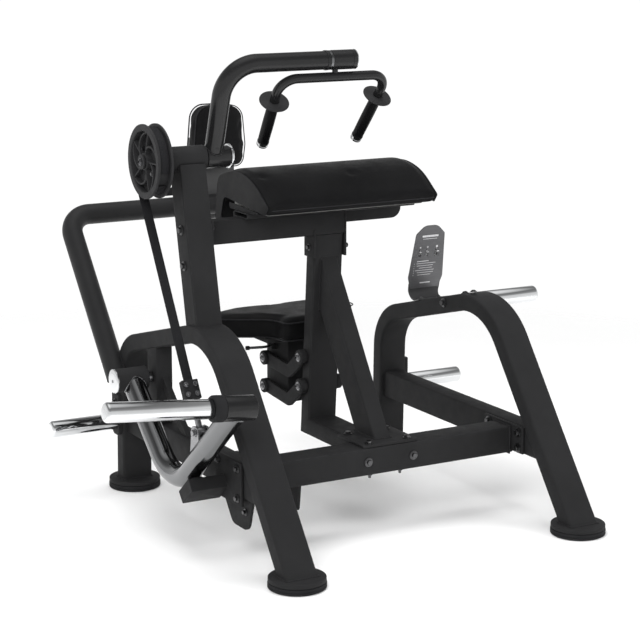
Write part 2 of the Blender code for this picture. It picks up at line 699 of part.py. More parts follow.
def build_handle():
    """The swivelling handle: sleeve, stem and bent bar in one weldment, with grips and hand stops."""
    centre = sleeve_centre()
    start = centre + X_DIR * SLEEVE_LEFT
    length = SLEEVE_RIGHT - SLEEVE_LEFT
    bore = 0.012 + GAP
    profile = ((0, bore), (0, SLEEVE_RADIUS - 0.0015), (0.0015, SLEEVE_RADIUS), (0.006, SLEEVE_RADIUS),
               (0.0068, SLEEVE_RADIUS - 0.0012), (0.0078, SLEEVE_RADIUS - 0.0012), (0.0086, SLEEVE_RADIUS),
               (length - 0.003, SLEEVE_RADIUS), (length, SLEEVE_RADIUS - 0.003), (length, 0.006),
               (length - 0.012, 0.006), (length - 0.012, bore))
    sleeve = turned("handle_sleeve", steel, start, X_DIR, profile, centre, hollow=True)
    middle = centre + X_DIR * HANDLE_X - Z_DIR * STEM_LENGTH
    stem = disc("handle_stem", steel, middle - Z_DIR * 0.002, Z_DIR, 0.008,
                STEM_LENGTH - SLEEVE_RADIUS + 0.006)
    combine(sleeve, stem, "UNION")
    directions = {"left": GRIP_DIRECTION,
                  "right": Vector((-GRIP_DIRECTION.x, GRIP_DIRECTION.y, GRIP_DIRECTION.z))}
    corners = {"left": middle - X_DIR * BAR_HALF, "right": middle + X_DIR * BAR_HALF}
    ends = {side: corners[side] + directions[side] * BAR_END for side in corners}
    binormal = X_DIR.cross(directions["left"]).normalized()
    bar = round_bar("handle_bar", steel, (ends["left"], corners["left"], corners["right"], ends["right"]),
                    (BAR_BEND, BAR_BEND), binormal, BAR_RADIUS, None, centre, 16)
    combine(sleeve, bar, "UNION")
    for side in ("left", "right"):
        direction = directions[side]
        first = corners[side] + direction * (GRIP_START + 0.006)
        ring(f"{side}_grip", rubber, first, direction, GRIP_RADIUS, BAR_RADIUS + GAP,
             GRIP_END - GRIP_START - 0.006, 0.002, centre, 20)
        first = corners[side] + direction * GRIP_START
        ring(f"{side}_hand_stop", moulded, first, direction, STOP_RADIUS, BAR_RADIUS + GAP, 0.005, 0.0015,
             centre)
    return sleeve


# ---------------------------------------------------------------- belt and link


def belt_tangent():
    """Where the belt that runs up from the link pin meets the rear of the drum."""
    centre = Vector((PIVOT.y, PIVOT.z))
    offset = Vector(LINK_PIN) - centre
    angle = atan2(offset.y, offset.x) + acos(BELT_RUN_RADIUS / offset.length)
    return centre + Vector((cos(angle), sin(angle))) * BELT_RUN_RADIUS


def build_belt():
    """The straight run of the belt, and the turns wound on the drum."""
    tangent = belt_tangent()
    pin = Vector(LINK_PIN)
    direction = (tangent - pin).normalized()
    start = pin + direction * (CLAMP_REACH + GAP)
    loop = rectangle_loop(BELT_WIDTH, BELT_THICKNESS, 0.001, 1)
    stations = stations_along((yz(start, PULLEY_X), yz(tangent, PULLEY_X)), ())
    add_object("belt_run", sweep_mesh(stations, X_DIR, loop), belt, yz(tangent, PULLEY_X))
    stations = []
    steps = 30
    for i in range(steps + 1):
        angle = BELT_WRAP_START + BELT_WRAP_TURN * i / steps
        radial = Vector((0.0, cos(angle), sin(angle)))
        along = Vector((0.0, -sin(angle), cos(angle)))
        stations.append((PIVOT + X_DIR * PULLEY_X + radial * BELT_RADIUS, along, 1.0))
    add_object("belt_wrap", sweep_mesh(stations, X_DIR, loop), belt, PIVOT, smooth=True)


def build_link():
    """The clamp on the belt's end and the rod that hangs the weight arm from it."""
    pin = Vector(LINK_PIN)
    direction = (belt_tangent() - pin).normalized()
    origin = yz(LINK_PIN, WEIGHT_X)
    top = pin + direction * CLAMP_REACH
    low = pin + direction * (CLAMP_REACH - CLAMP_LENGTH)
    stations = stations_along((yz(low, WEIGHT_X), yz(top, WEIGHT_X)), ())
    clamp = add_object("belt_clamp", sweep_mesh(stations, X_DIR, rectangle_loop(0.046, 0.020, 0.002, 2)),
                       steel,
                       origin)
    rod_top = low - direction * GAP
    rod_low = pin + direction * 0.010
    rod = add_object("clamp_rod",
                     sweep_mesh(stations_along((yz(rod_low, WEIGHT_X), yz(rod_top, WEIGHT_X)), ()),
                                             X_DIR, circle_loop(0.008, 20)), bare_steel, origin,
                     smooth=True)
    eye = ring("clamp_rod_eye", bare_steel, yz(LINK_PIN, WEIGHT_X - 0.009), X_DIR, 0.015, 0.0063, 0.018)
    combine(rod, eye, "UNION")
    return clamp


# ---------------------------------------------------------------- weight arm


def build_weight_arm():
    """The weight arm: V tube, hub, horn holder, stop collar, horn and cap, and the clevis for the link."""
    pivot = yz(WEIGHT_PIVOT, WEIGHT_X)
    tip = yz(WEIGHT_TIP, WEIGHT_X)
    corner = yz(WEIGHT_CORNER, WEIGHT_X)
    tube = round_bar("weight_arm_tube", chrome, (pivot, corner, tip), (WEIGHT_BEND,), X_DIR, WEIGHT_RADIUS,
                     None,
                     pivot, 24)
    for name, centre, axis in (("weight_tube_cut_hub", pivot, X_DIR),
                               ("weight_tube_cut_tip", tip, HORN_AXIS)):
        combine(tube, disc(name, steel, centre - axis * 0.08, axis, WEIGHT_HUB_RADIUS + GAP, 0.16),
                "DIFFERENCE")
    for side in (-1, 1):
        ear_x = WEIGHT_X + side * 0.014
        corners = ((-0.020, 0.016), (0.018, 0.016), (0.030, -0.075), (-0.024, -0.040))
        outline = rounded_outline([(LINK_PIN[0] + a, LINK_PIN[1] + b) for a, b in corners],
                                  (0.014, 0.014, 0.0, 0.0))
        ear = extrude_outline(f"weight_ear_{side}", chrome, outline, "X", ear_x - 0.003, ear_x + 0.003)
        combine(tube, ear, "UNION")
    pin = disc("weight_link_pin", chrome, yz(LINK_PIN, WEIGHT_X - 0.021), X_DIR, 0.006, 0.042)
    combine(tube, pin, "UNION")
    hub_left = WEIGHT_X - 0.050
    ring("weight_arm_hub", steel, yz(WEIGHT_PIVOT, hub_left), X_DIR, WEIGHT_HUB_RADIUS, 0.0153, 0.090,
         0.001, pivot)
    disc("weight_hub_cap", chrome, yz(WEIGHT_PIVOT, hub_left - 0.007 - GAP), X_DIR,
         WEIGHT_HUB_RADIUS + 0.001, 0.007,
         0.002, pivot)
    holder_end = 0.043
    ring("horn_holder", steel, tip - HORN_AXIS * 0.041, HORN_AXIS, WEIGHT_HUB_RADIUS, HORN_RADIUS + GAP,
         0.041 + holder_end, 0.001, pivot)
    ring("horn_collar", rubber, tip + HORN_AXIS * (holder_end + GAP), HORN_AXIS, WEIGHT_HUB_RADIUS + 0.001,
         HORN_RADIUS + GAP, 0.030, 0.003, pivot)
    disc("weight_horn", chrome, tip - HORN_AXIS * 0.040, HORN_AXIS, HORN_RADIUS, 0.040 + HORN_REACH, 0.003,
         pivot)


def build_weight_pivot():
    """The fixed post, brace and pin that carry the weight arm."""
    left = -ARCH_X - ARCH_WIDTH / 2 + 0.002
    right = left + 0.050
    low, high = 0.232, 0.292
    post = box("pivot_post", steel, (left, low, RAIL_TOP + GAP), (right, high, 0.49), 0.004)
    cutter = rect_block("pivot_post_cutter", arch_path(-ARCH_X), X_DIR, ARCH_WIDTH, ARCH_DEPTH, Z_DIR,
                        Z_DIR)
    combine(post, cutter, "DIFFERENCE")
    corners = ((low + 0.004, 0.385), (low + 0.004, 0.355), (0.116, RAIL_TOP + GAP), (0.080, RAIL_TOP + GAP))
    brace = extrude_outline("pivot_brace", steel, corners, "X", left + 0.018, left + 0.034)
    combine(post, brace, "UNION")
    disc("weight_pivot_pin", bare_steel, yz(WEIGHT_PIVOT, WEIGHT_X - 0.049), X_DIR, 0.015,
         left - GAP - WEIGHT_X + 0.049)


def build_bumper():
    """The bracket on the left rail and the rubber bumper that stops the weight arm."""
    left = -ARCH_X - RAIL_WIDTH / 2 - GAP
    plate = box("bumper_bracket", steel, (left - PLATE, -0.264, 0.146), (left, -0.118, 0.262), 0.0015)
    slope = atan2(WEIGHT_TIP[1] - WEIGHT_CORNER[1], WEIGHT_CORNER[0] - WEIGHT_TIP[0])
    along = Vector((0.0, -cos(slope), sin(slope)))
    below = Vector((0.0, -sin(slope), -cos(slope)))
    seat = yz(WEIGHT_CORNER, 0.0) + along * 0.130 + below * (WEIGHT_RADIUS + GAP)
    arm_top = seat + below * (BUMPER_HEIGHT + GAP)
    centre = arm_top + below * 0.018
    outer = WEIGHT_X - 0.038
    stations = stations_along((Vector((outer, centre.y, centre.z)),
                               Vector((left - 0.004, centre.y, centre.z))), ())
    loop = rectangle_loop(0.036, 0.075, 0.003, 2)
    arm = add_object("bumper_arm", sweep_mesh(stations, below, loop), steel, centre)
    combine(plate, arm, "UNION")
    middle = seat + X_DIR * WEIGHT_X + below * BUMPER_HEIGHT
    bumper = disc("weight_bumper", rubber, middle, -below, 0.022, BUMPER_HEIGHT, 0.003)
    return bumper


def build_left_rail():
    """The left rail carries a lug with a hole under its outer side."""
    rail = build_rail("left_rail", -ARCH_X)
    corners = ((-0.290, RAIL_BOTTOM + 0.002), (-0.105, RAIL_BOTTOM + 0.002), (-0.175, 0.078),
               (-0.262, 0.078))
    outline = rounded_outline(corners, (0.0, 0.0, 0.030, 0.030))
    lug = extrude_outline("left_rail_lug", steel, outline, "X", -0.446, -0.438, 0.001)
    hole = disc("left_rail_lug_hole", steel, (-0.47, -0.170, 0.138), X_DIR, 0.007, 0.06)
    combine(lug, hole, "DIFFERENCE")
    return combine(rail, lug, "UNION")


# ---------------------------------------------------------------- storage horns


def build_storage_horn(name, side, y, z, flange):
    """A plate storage horn on an arch's outer side; the flange is its low and high z from the horn's."""
    face = side * (ARCH_X + ARCH_WIDTH / 2 + GAP)
    horn = disc(name, chrome, Vector((face, y, z)), X_DIR * side, HORN_RADIUS - 0.001, STORE_LENGTH, 0.004)
    if flange is None:
        collar = disc(f"{name}_collar", chrome, Vector((face, y, z)), X_DIR * side, 0.0235, 0.012, 0.002)
        return combine(horn, collar, "UNION")
    ends = sorted((face, face + side * 0.012))
    plate = box(f"{name}_plate", chrome, (ends[0], y - 0.0225, z + flange[0]),
                (ends[1], y + 0.0225, z + flange[1]),
                0.002)
    return combine(horn, plate, "UNION")


# ---------------------------------------------------------------- seat


def link_path(heights, x):
    """A cranked plate's centre line, run a little past both pins so that its ends lie inside the bosses."""
    front = Vector((x, LINK_FRONT_Y, heights[0]))
    knee = Vector((x, LINK_FRONT_Y + 0.076, heights[0] - 0.057))
    rear = Vector((x, LINK_REAR_Y, heights[1]))
    past = 0.0043
    return front + (front - knee).normalized() * past, knee, rear + (rear - knee).normalized() * past


def build_link_pair(name, heights):
    """Two cranked link plates on one through pin, with bosses at both ends."""
    front_centre = Vector((0.0, LINK_FRONT_Y, heights[0]))
    half = LINK_X + LINK_THICKNESS / 2 + 0.006
    pin = disc(name, steel, front_centre - X_DIR * half, X_DIR, LINK_PIN_RADIUS, 2 * half, 0.001,
               front_centre)
    for side in (-1, 1):
        x = side * LINK_X
        path = link_path(heights, x)
        plate = add_object(f"{name}_plate_{side}",
                           sweep_mesh(stations_along(path, (0.020,)), X_DIR,
                                      rectangle_loop(LINK_THICKNESS, LINK_HEIGHT, 0.002, 1)),
                           steel, front_centre)
        for label, y, z in (("front", LINK_FRONT_Y, heights[0]), ("rear", LINK_REAR_Y, heights[1])):
            boss = disc(f"{name}_{label}_boss_{side}", steel, Vector((side * 0.0456, y, z)), X_DIR * side,
                        LINK_BOSS_RADIUS, 0.021)
            combine(plate, boss, "UNION")
        bore = disc(f"{name}_bore_{side}", steel, Vector((side * 0.08, LINK_REAR_Y, heights[1])),
                    X_DIR * -side,
                    LINK_PIN_RADIUS + GAP, 0.05)
        combine(plate, bore, "DIFFERENCE")
        combine(pin, plate, "UNION")
    return pin


def seat_outline():
    """The saddle-shaped seat, seen from above: a narrow nose towards the column and a wide rear."""
    right = ((0.090, 0.194), (0.098, 0.268), (0.228, 0.340), (0.228, 0.424), (0.130, 0.456))
    radii = (0.026, 0.050, 0.040, 0.036, 0.060)
    corners = list(right) + [(-x, y) for x, y in reversed(right)]
    return rounded_outline(corners, radii + tuple(reversed(radii)))


def build_seat():
    """The seat cushion, its steel plate, and the carriage between the two links."""
    carriage_origin = Vector((0.0, LINK_REAR_Y, LINK_LOWER_Z[1]))
    extrude_outline("seat_cushion", leather, seat_outline(), "Z", SEAT_BOTTOM, SEAT_TOP, 0.014,
                    carriage_origin, 3)
    carriage = box("seat_carriage", steel, (-0.040, 0.272, 0.246), (0.040, 0.404, 0.432), 0.004,
                   carriage_origin)
    plate = box("seat_plate", steel, (-0.110, 0.262, 0.429), (0.110, 0.432, SEAT_BOTTOM - GAP), 0.001)
    combine(carriage, plate, "UNION")
    for label, z in (("upper", LINK_UPPER_Z[1]), ("lower", LINK_LOWER_Z[1])):
        pin = disc(f"carriage_{label}_pin", steel, Vector((-0.068, LINK_REAR_Y, z)), X_DIR, LINK_PIN_RADIUS,
                   0.136)
        combine(carriage, pin, "UNION")
    pivot = Vector((-0.040 - LEVER_HUB_RADIUS - GAP, 0.352, 0.398))
    for side in (-1, 1):
        near = sorted((pivot.y + side * 0.0068, pivot.y + side * 0.0108))
        ear = box(f"lever_ear_{side}", steel, (pivot.x - 0.008, near[0], pivot.z - 0.008),
                  (-0.038, near[1], pivot.z + 0.008), 0.001)
        combine(carriage, ear, "UNION")
    pin = disc("lever_pin", steel, pivot - Y_DIR * 0.0115, Y_DIR, 0.003, 0.023)
    combine(carriage, pin, "UNION")
    start = pivot - X_DIR * 0.005
    lever = round_bar("seat_lever", bare_steel,
                      (start, pivot - X_DIR * 0.034, pivot + Vector((-0.072, 0.010, 0.0))),
                      (0.015,), Z_DIR, 0.004, None, pivot, 12)
    hub = disc("lever_hub", bare_steel, pivot - Y_DIR * 0.0065, Y_DIR, LEVER_HUB_RADIUS, 0.013)
    bore = disc("lever_bore", bare_steel, pivot - Y_DIR * 0.02, Y_DIR, 0.003 + GAP, 0.04)
    combine(lever, hub, "UNION")
    return combine(lever, bore, "DIFFERENCE")


# ---------------------------------------------------------------- pads


def build_arm_pad():
    """The arm pad, its wedge-shaped board and the flat support tube that lies on the top beam."""
    front, rear = PAD_UNDER_FRONT, PAD_UNDER_REAR
    corners = ((0.264, 0.925), (0.150, 0.953), (0.048, 0.930), (-0.044, 0.868), front, rear, (0.239, 0.796),
               (0.287, 0.790))
    outline = rounded_outline(corners, (0.025, 0.100, 0.060, 0.013, 0.010, 0.012, 0.012, 0.012))
    extrude_outline("arm_pad", leather, outline, "X", -PAD_HALF, PAD_HALF, 0.004)
    slope = (rear[1] - front[1]) / (rear[0] - front[0])
    low = PAD_BEAM_TOP + GAP
    mid = low + PAD_SUPPORT_HEIGHT

    def under(y):
        return front[1] + slope * (y - front[0]) - GAP

    stations = stations_along((Vector((-0.268, 0.115, (low + mid) / 2)),
                               Vector((0.258, 0.115, (low + mid) / 2))), ())
    support = rect_tube("pad_support", steel, stations, Y_DIR, 0.080, PAD_SUPPORT_HEIGHT)
    rear_face = PAD_BEAM_Y[1] + GAP
    corners = ((-0.268, mid - 0.004), (-0.268, 0.779), (0.258, 0.779), (0.258, mid - 0.004))
    lip = extrude_outline("pad_support_lip", steel, rounded_outline(corners, (0.0, 0.030, 0.030, 0.0)), "Y",
                          rear_face,
                          rear_face + PLATE)
    combine(support, lip, "UNION")
    wedge = ((0.010, mid + GAP), (0.205, mid + GAP), (0.205, under(0.205)), (0.010, under(0.010)))
    extrude_outline("pad_board", board_grey, wedge, "X", -PAD_HALF + 0.025, PAD_HALF - 0.025)


def build_back_pad():
    """The back pad on its post, which is fixed to the rear of the boom."""
    post_rear = BACK_POST_FRONT + BACK_POST_DEPTH
    box("back_post", post_grey, (-0.075, BACK_POST_FRONT, 0.700), (0.075, post_rear, 0.952), 0.004)
    corners = ((-0.080, 0.862), (-0.0895, 0.930), (-0.078, 1.056), (0.078, 1.056), (0.0895, 0.930),
               (0.080, 0.862))
    outline = rounded_outline(corners, (0.030, 0.060, 0.046, 0.046, 0.060, 0.030))
    extrude_outline("back_pad", leather, outline, "Y", BACK_POST_FRONT - GAP - 0.058, BACK_POST_FRONT - GAP,
                    0.014,
                    None, 3)


def build_placard():
    """The instruction plate: a bent sheet with its foot on the right arch and its face leaning forward."""
    slope = (ARCH_REAR[1] - ARCH_APEX[1]) / (ARCH_REAR[0] - ARCH_APEX[0])
    tilt = atan(slope)
    lift = (ARCH_DEPTH / 2 + GAP + PLACARD_SHEET / 2) / cos(tilt)
    foot = []
    for y in PLACARD_FOOT:
        foot.append(Vector((PLACARD_X, y, ARCH_APEX[1] + slope * (y - ARCH_APEX[0]) + lift)))
    up = Vector((0.0, -sin(PLACARD_LEAN), cos(PLACARD_LEAN)))
    back = Vector((0.0, cos(PLACARD_LEAN), sin(PLACARD_LEAN)))
    corner = foot[1] + up * PLACARD_NECK
    stations = stations_along((foot[0], foot[1], corner + up * 0.012), (PLACARD_BEND,))
    bracket = add_object("placard",
                         sweep_mesh(stations, X_DIR, rectangle_loop(0.096, PLACARD_SHEET, 0.001, 1)),
                         placard_grey, foot[1])
    half = PLACARD_WIDTH / 2
    top = PLACARD_HEIGHT
    right = ((half - 0.011, 0.0), (half, 0.034), (half - 0.0105, top - 0.026), (0.022, top))
    radii = (0.0, 0.020, 0.010, 0.030)
    outline = rounded_outline(list(right) + [(-a, b) for a, b in reversed(right)],
                              radii + tuple(reversed(radii)))
    sheet = PLACARD_SHEET + 0.0004
    plate = extrude_frame("placard_face", placard_grey, outline, corner - back * (sheet / 2), X_DIR, up,
                          back * sheet)
    return combine(bracket, plate, "UNION")


# ---------------------------------------------------------------- build

clear_scene()
machine = bpy.data.objects.new("machine_centre", None)
machine.location = CENTRE
bpy.context.scene.collection.objects.link(machine)

steel = make_material("frame_coat", (0.035, 0.035, 0.037), 0.45, 0.1)
bare_steel = make_material("bare_steel", (0.55, 0.55, 0.56), 0.3, 1.0)
chrome = make_material("chrome_plate", (0.78, 0.79, 0.80), 0.12, 1.0)
leather = make_material("upholstery", (0.014, 0.014, 0.015), 0.5, 0.0)
rubber = make_material("black_rubber", (0.02, 0.02, 0.021), 0.7, 0.0)
moulded = make_material("moulded_plastic", (0.03, 0.03, 0.031), 0.4, 0.0)
belt = make_material("belt_fabric", (0.022, 0.022, 0.023), 0.8, 0.0)
board_grey = make_material("pad_board", (0.30, 0.30, 0.30), 0.6, 0.0)
placard_grey = make_material("placard_grey", (0.15, 0.15, 0.16), 0.5, 0.0)
post_grey = make_material("post_grey", (0.12, 0.12, 0.12), 0.5, 0.1)

for side_name, side_x in (("left", -ARCH_X), ("right", ARCH_X)):
    build_arch(f"{side_name}_arch", side_x)
    build_foot(f"{side_name}_front_foot", side_x, -FOOT_Y)
    build_foot(f"{side_name}_rear_foot", side_x, FOOT_Y)
build_left_rail()
build_rail("right_rail", ARCH_X)
build_crossbeam()
build_column()
build_strut()
build_upright()
build_housing()
build_top_beam()
build_boom()
build_shaft()
build_handle_arm()
build_pulley()
build_handle()
build_belt()
build_link()
build_weight_arm()
build_weight_pivot()
build_bumper()
build_storage_horn("rear_left_storage_horn", -1, FOOT_Y - 0.0015, 0.200, (-0.040, 0.080))
build_storage_horn("rear_right_storage_horn", 1, FOOT_Y - 0.0015, 0.200, (-0.040, 0.080))
build_storage_horn("top_right_storage_horn", 1, 0.0886, 0.5275, None)
build_link_pair("upper_link", LINK_UPPER_Z)
build_link_pair("lower_link", LINK_LOWER_Z)
build_seat()
build_arm_pad()
build_back_pad()
build_placard()
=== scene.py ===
"""Looks for the plate-loaded arm-extension machine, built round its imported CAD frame."""

from math import acos, atan, atan2, cos, exp, pi, radians, sin, sqrt, tan

import bmesh
import bpy
from mathutils import Matrix, Vector, noise


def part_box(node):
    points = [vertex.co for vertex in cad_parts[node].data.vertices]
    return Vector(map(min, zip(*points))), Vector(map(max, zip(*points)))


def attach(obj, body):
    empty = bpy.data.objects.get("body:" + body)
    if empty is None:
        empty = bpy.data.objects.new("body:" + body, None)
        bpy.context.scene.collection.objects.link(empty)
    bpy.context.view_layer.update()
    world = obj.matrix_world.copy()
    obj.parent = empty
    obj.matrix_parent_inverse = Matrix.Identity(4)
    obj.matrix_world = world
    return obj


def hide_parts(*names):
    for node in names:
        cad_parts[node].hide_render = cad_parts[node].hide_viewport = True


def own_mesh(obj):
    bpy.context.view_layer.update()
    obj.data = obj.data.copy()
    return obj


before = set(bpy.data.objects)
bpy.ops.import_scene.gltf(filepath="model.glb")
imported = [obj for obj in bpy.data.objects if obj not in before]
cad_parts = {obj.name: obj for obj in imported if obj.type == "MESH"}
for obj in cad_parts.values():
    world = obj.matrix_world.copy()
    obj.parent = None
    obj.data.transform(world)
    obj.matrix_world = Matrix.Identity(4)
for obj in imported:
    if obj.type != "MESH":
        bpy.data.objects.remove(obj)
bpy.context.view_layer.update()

X_DIR = Vector((1.0, 0.0, 0.0))
Y_DIR = Vector((0.0, 1.0, 0.0))
Z_DIR = Vector((0.0, 0.0, 1.0))
GAP = 0.0003

# ---------------------------------------------------------------- the machine's own frame

FOOT_Y = 0.490
FOOT_RADIUS = 0.074
FOOT_HEIGHT = 0.028
ARCH_X = 0.428
ARCH_WIDTH = 0.090
ARCH_DEPTH = 0.048
ARCH_APEX = (-0.083, 0.5705)
ARCH_REAR = (0.480, 0.423)
PIVOT = Vector((0.0, 0.112, 0.992))
ARM_X = -0.350
ARM_LEAN = radians(18.0)
ARM_LENGTH = 0.261
ARM_RADIUS = 0.025
WEIGHT_X = -0.530
WEIGHT_PIVOT = (0.262, 0.377)
WEIGHT_CORNER = (-0.0125, 0.135)
WEIGHT_TIP = (-0.378, 0.442)
HORN_AXIS = Vector((-cos(radians(5.5)), 0.0, sin(radians(5.5))))
LINK_PIN = (-0.165, 0.330)
CROSS_FRONT = -0.230
PLACARD_X = 0.434
CROSS_REAR = -0.150
CROSS_TOP = 0.238
BOOM_CORNER = (0.797, 0.751)
BOOM_RADIUS = 0.030
POST_REAR = 0.8513
PLACARD_LEAN = radians(11.5)
BELT_RUN_RADIUS = 0.0918
FLOOR_FADE = (1.5, 3.2)

foot_low, foot_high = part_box("left_front_foot")
CENTRE = Vector(((foot_low.x + foot_high.x) / 2 + ARCH_X, (foot_low.y + foot_high.y) / 2 + FOOT_Y, 0.0))

# ---------------------------------------------------------------- materials


class Shader:
    """A small helper round one material's node tree."""

    def __init__(self, name):
        self.material = bpy.data.materials.new(name)
        self.material.use_nodes = True
        self.tree = self.material.node_tree
        self.shader = self.tree.nodes["Principled BSDF"]
        self.place = self.tree.nodes.new("ShaderNodeTexCoord").outputs["Object"]

    def node(self, kind, **inputs):
        made = self.tree.nodes.new(kind)
        for key, value in inputs.items():
            made.inputs[key.replace("_", " ")].default_value = value
        return made

    def link(self, source, target):
        self.tree.links.new(source, target)

    def noise(self, scale, detail=4.0, roughness=0.55, stretch=None):
        made = self.node("ShaderNodeTexNoise", Scale=scale, Detail=detail, Roughness=roughness)
        source = self.place
        if stretch is not None:
            mapping = self.node("ShaderNodeMapping", Scale=stretch)
            self.link(self.place, mapping.inputs["Vector"])
            source = mapping.outputs["Vector"]
        self.link(source, made.inputs["Vector"])
        return made.outputs["Fac"]

    def ramp(self, source, stops):
        made = self.node("ShaderNodeValToRGB")
        made.color_ramp.elements[0].position = stops[0][0]
        made.color_ramp.elements[0].color = (*stops[0][1], 1.0)
        made.color_ramp.elements[1].position = stops[1][0]
        made.color_ramp.elements[1].color = (*stops[1][1], 1.0)
        self.link(source, made.inputs["Fac"])
        return made.outputs["Color"]

    def range(self, source, low, high, start=0.3, end=0.7):
        made = self.node("ShaderNodeMapRange")
        made.inputs["From Min"].default_value = start
        made.inputs["From Max"].default_value = end
        made.inputs["To Min"].default_value = low
        made.inputs["To Max"].default_value = high
        self.link(source, made.inputs["Value"])
        return made.outputs["Result"]

    def math(self, operation, first, second):
        made = self.node("ShaderNodeMath")
        made.operation = operation
        for socket, value in zip(made.inputs, (first, second)):
            if isinstance(value, (int, float)):
                socket.default_value = value
            else:
                self.link(value, socket)
        return made.outputs["Value"]

    def mix(self, factor, first, second):
        made = self.node("ShaderNodeMix")
        made.data_type = "RGBA"
        for socket, value in ((made.inputs[0], factor), (made.inputs[6], first), (made.inputs[7], second)):
            if isinstance(value, tuple):
                socket.default_value = (*value, 1.0)
            elif isinstance(value, (int, float)):
                socket.default_value = value
            else:
                self.link(value, socket)
        return made.outputs[2]

    def bump(self, source, strength, distance, after=None):
        made = self.node("ShaderNodeBump", Strength=strength, Distance=distance)
        self.link(source, made.inputs["Height"])
        if after is not None:
            self.link(after, made.inputs["Normal"])
        return made.outputs["Normal"]

    def edges(self, radius):
        """How far a point's rounded normal turns from its own: 0 on flats, rising on edges."""
        bevel = self.node("ShaderNodeBevel", Radius=radius)
        bevel.samples = 4
        geometry = self.node("ShaderNodeNewGeometry")
        dot = self.node("ShaderNodeVectorMath")
        dot.operation = "DOT_PRODUCT"
        self.link(bevel.outputs["Normal"], dot.inputs[0])
        self.link(geometry.outputs["Normal"], dot.inputs[1])
        return self.range(dot.outputs["Value"], 1.0, 0.0, 0.86, 0.995)

    def finish(self, colour=None, roughness=None, normal=None, **values):
        for key, value in (("Base Color", colour), ("Roughness", roughness), ("Normal", normal)):
            if value is None:
                continue
            if isinstance(value, tuple):
                self.shader.inputs[key].default_value = (*value, 1.0)
            elif isinstance(value, (int, float)):
                self.shader.inputs[key].default_value = value
            else:
                self.link(value, self.shader.inputs[key])
        for key, value in values.items():
            self.shader.inputs[key.replace("_", " ")].default_value = value
        return self.material


def powder_coat(name, dark, light, roughness, shine=0.25):
    """Fine-textured powder coat, with a painted highlight: edges painted lighter in noisy patches."""
    s = Shader(name)
    cloud = s.noise(9.0, 3.0)
    grain = s.noise(900.0, 2.0)
    base = s.ramp(cloud, ((0.3, dark), (0.7, light)))
    # Painted highlight: edges are painted lighter, in noisy patches.
    painted_edge_highlight = s.math("MULTIPLY", s.edges(0.003), s.range(s.noise(60.0, 5.0), 0.0, 0.55, 0.42, 0.62))
    colour = s.mix(painted_edge_highlight, base, tuple(min(1.0, 3.0 * c) for c in light))
    rough = s.range(s.noise(30.0, 5.0), roughness - 0.06, roughness + 0.07)
    return s.finish(colour, rough, s.bump(grain, 0.22, 0.0004), Metallic=0.0, Specular_IOR_Level=shine)


def chrome_plate(name, tint, low, high, stretch):
    """Polished plate with fine turning marks and faint handling scuffs."""
    s = Shader(name)
    marks = s.noise(260.0, 4.0, 0.6, stretch)
    scuffs = s.noise(38.0, 6.0, 0.7)
    rough = s.math("ADD", s.range(scuffs, low, high, 0.45, 0.8), s.range(marks, 0.0, 0.05))
    colour = s.ramp(s.noise(14.0, 3.0), ((0.3, tuple(0.93 * c for c in tint)), (0.7, tint)))
    return s.finish(colour, rough, s.bump(marks, 0.05, 0.0002), Metallic=1.0)


def leather_cover(name, dark, light):
    """Synthetic leather: pebbled grain in two sizes, slow colour change and a soft sheen."""
    s = Shader(name)
    cells = s.node("ShaderNodeTexVoronoi", Scale=620.0)
    s.link(s.place, cells.inputs["Vector"])
    fine = s.noise(1500.0, 2.0)
    cloud = s.noise(7.0, 4.0)
    colour = s.ramp(cloud, ((0.3, dark), (0.72, light)))
    rough = s.range(s.noise(24.0, 5.0), 0.38, 0.52)
    normal = s.bump(cells.outputs["Distance"], 0.32, 0.0006)
    normal = s.bump(fine, 0.12, 0.0003, normal)
    return s.finish(colour, rough, normal, Specular_IOR_Level=0.09)


def rubber_skin(name, dark, light, scale, roughness):
    s = Shader(name)
    colour = s.ramp(s.noise(16.0, 5.0), ((0.3, dark), (0.7, light)))
    rough = s.range(s.noise(50.0, 4.0), roughness - 0.08, roughness + 0.08)
    return s.finish(colour, rough, s.bump(s.noise(scale, 3.0), 0.35, 0.0005), Specular_IOR_Level=0.12)


def woven_belt(name):
    """Flat woven belt: crossed ribs along and over the strap."""
    s = Shader(name)
    ribs = []
    for direction, scale in (("X", 330.0), ("Z", 210.0)):
        wave = s.node("ShaderNodeTexWave", Scale=scale, Distortion=0.4)
        wave.bands_direction = direction
        s.link(s.place, wave.inputs["Vector"])
        ribs.append(wave.outputs["Fac"])
    weave = s.math("MULTIPLY", ribs[0], ribs[1])
    colour = s.ramp(weave, ((0.1, (0.010, 0.010, 0.011)), (0.9, (0.034, 0.034, 0.036))))
    return s.finish(colour, 0.82, s.bump(weave, 0.5, 0.0006), Specular_IOR_Level=0.10)


def board_face(name):
    s = Shader(name)
    grain = s.noise(40.0, 6.0, 0.6, (8.0, 1.0, 1.0))
    colour = s.ramp(grain, ((0.3, (0.16, 0.16, 0.155)), (0.7, (0.27, 0.27, 0.26))))
    return s.finish(colour, 0.7, s.bump(grain, 0.2, 0.0004))


def brushed_sheet(name, dark, light):
    s = Shader(name)
    grain = s.noise(420.0, 3.0, 0.6, (0.05, 1.0, 1.0))
    colour = s.ramp(grain, ((0.3, dark), (0.7, light)))
    rough = s.range(s.noise(60.0, 4.0), 0.36, 0.48)
    return s.finish(colour, rough, s.bump(grain, 0.06, 0.0002), Metallic=0.55)


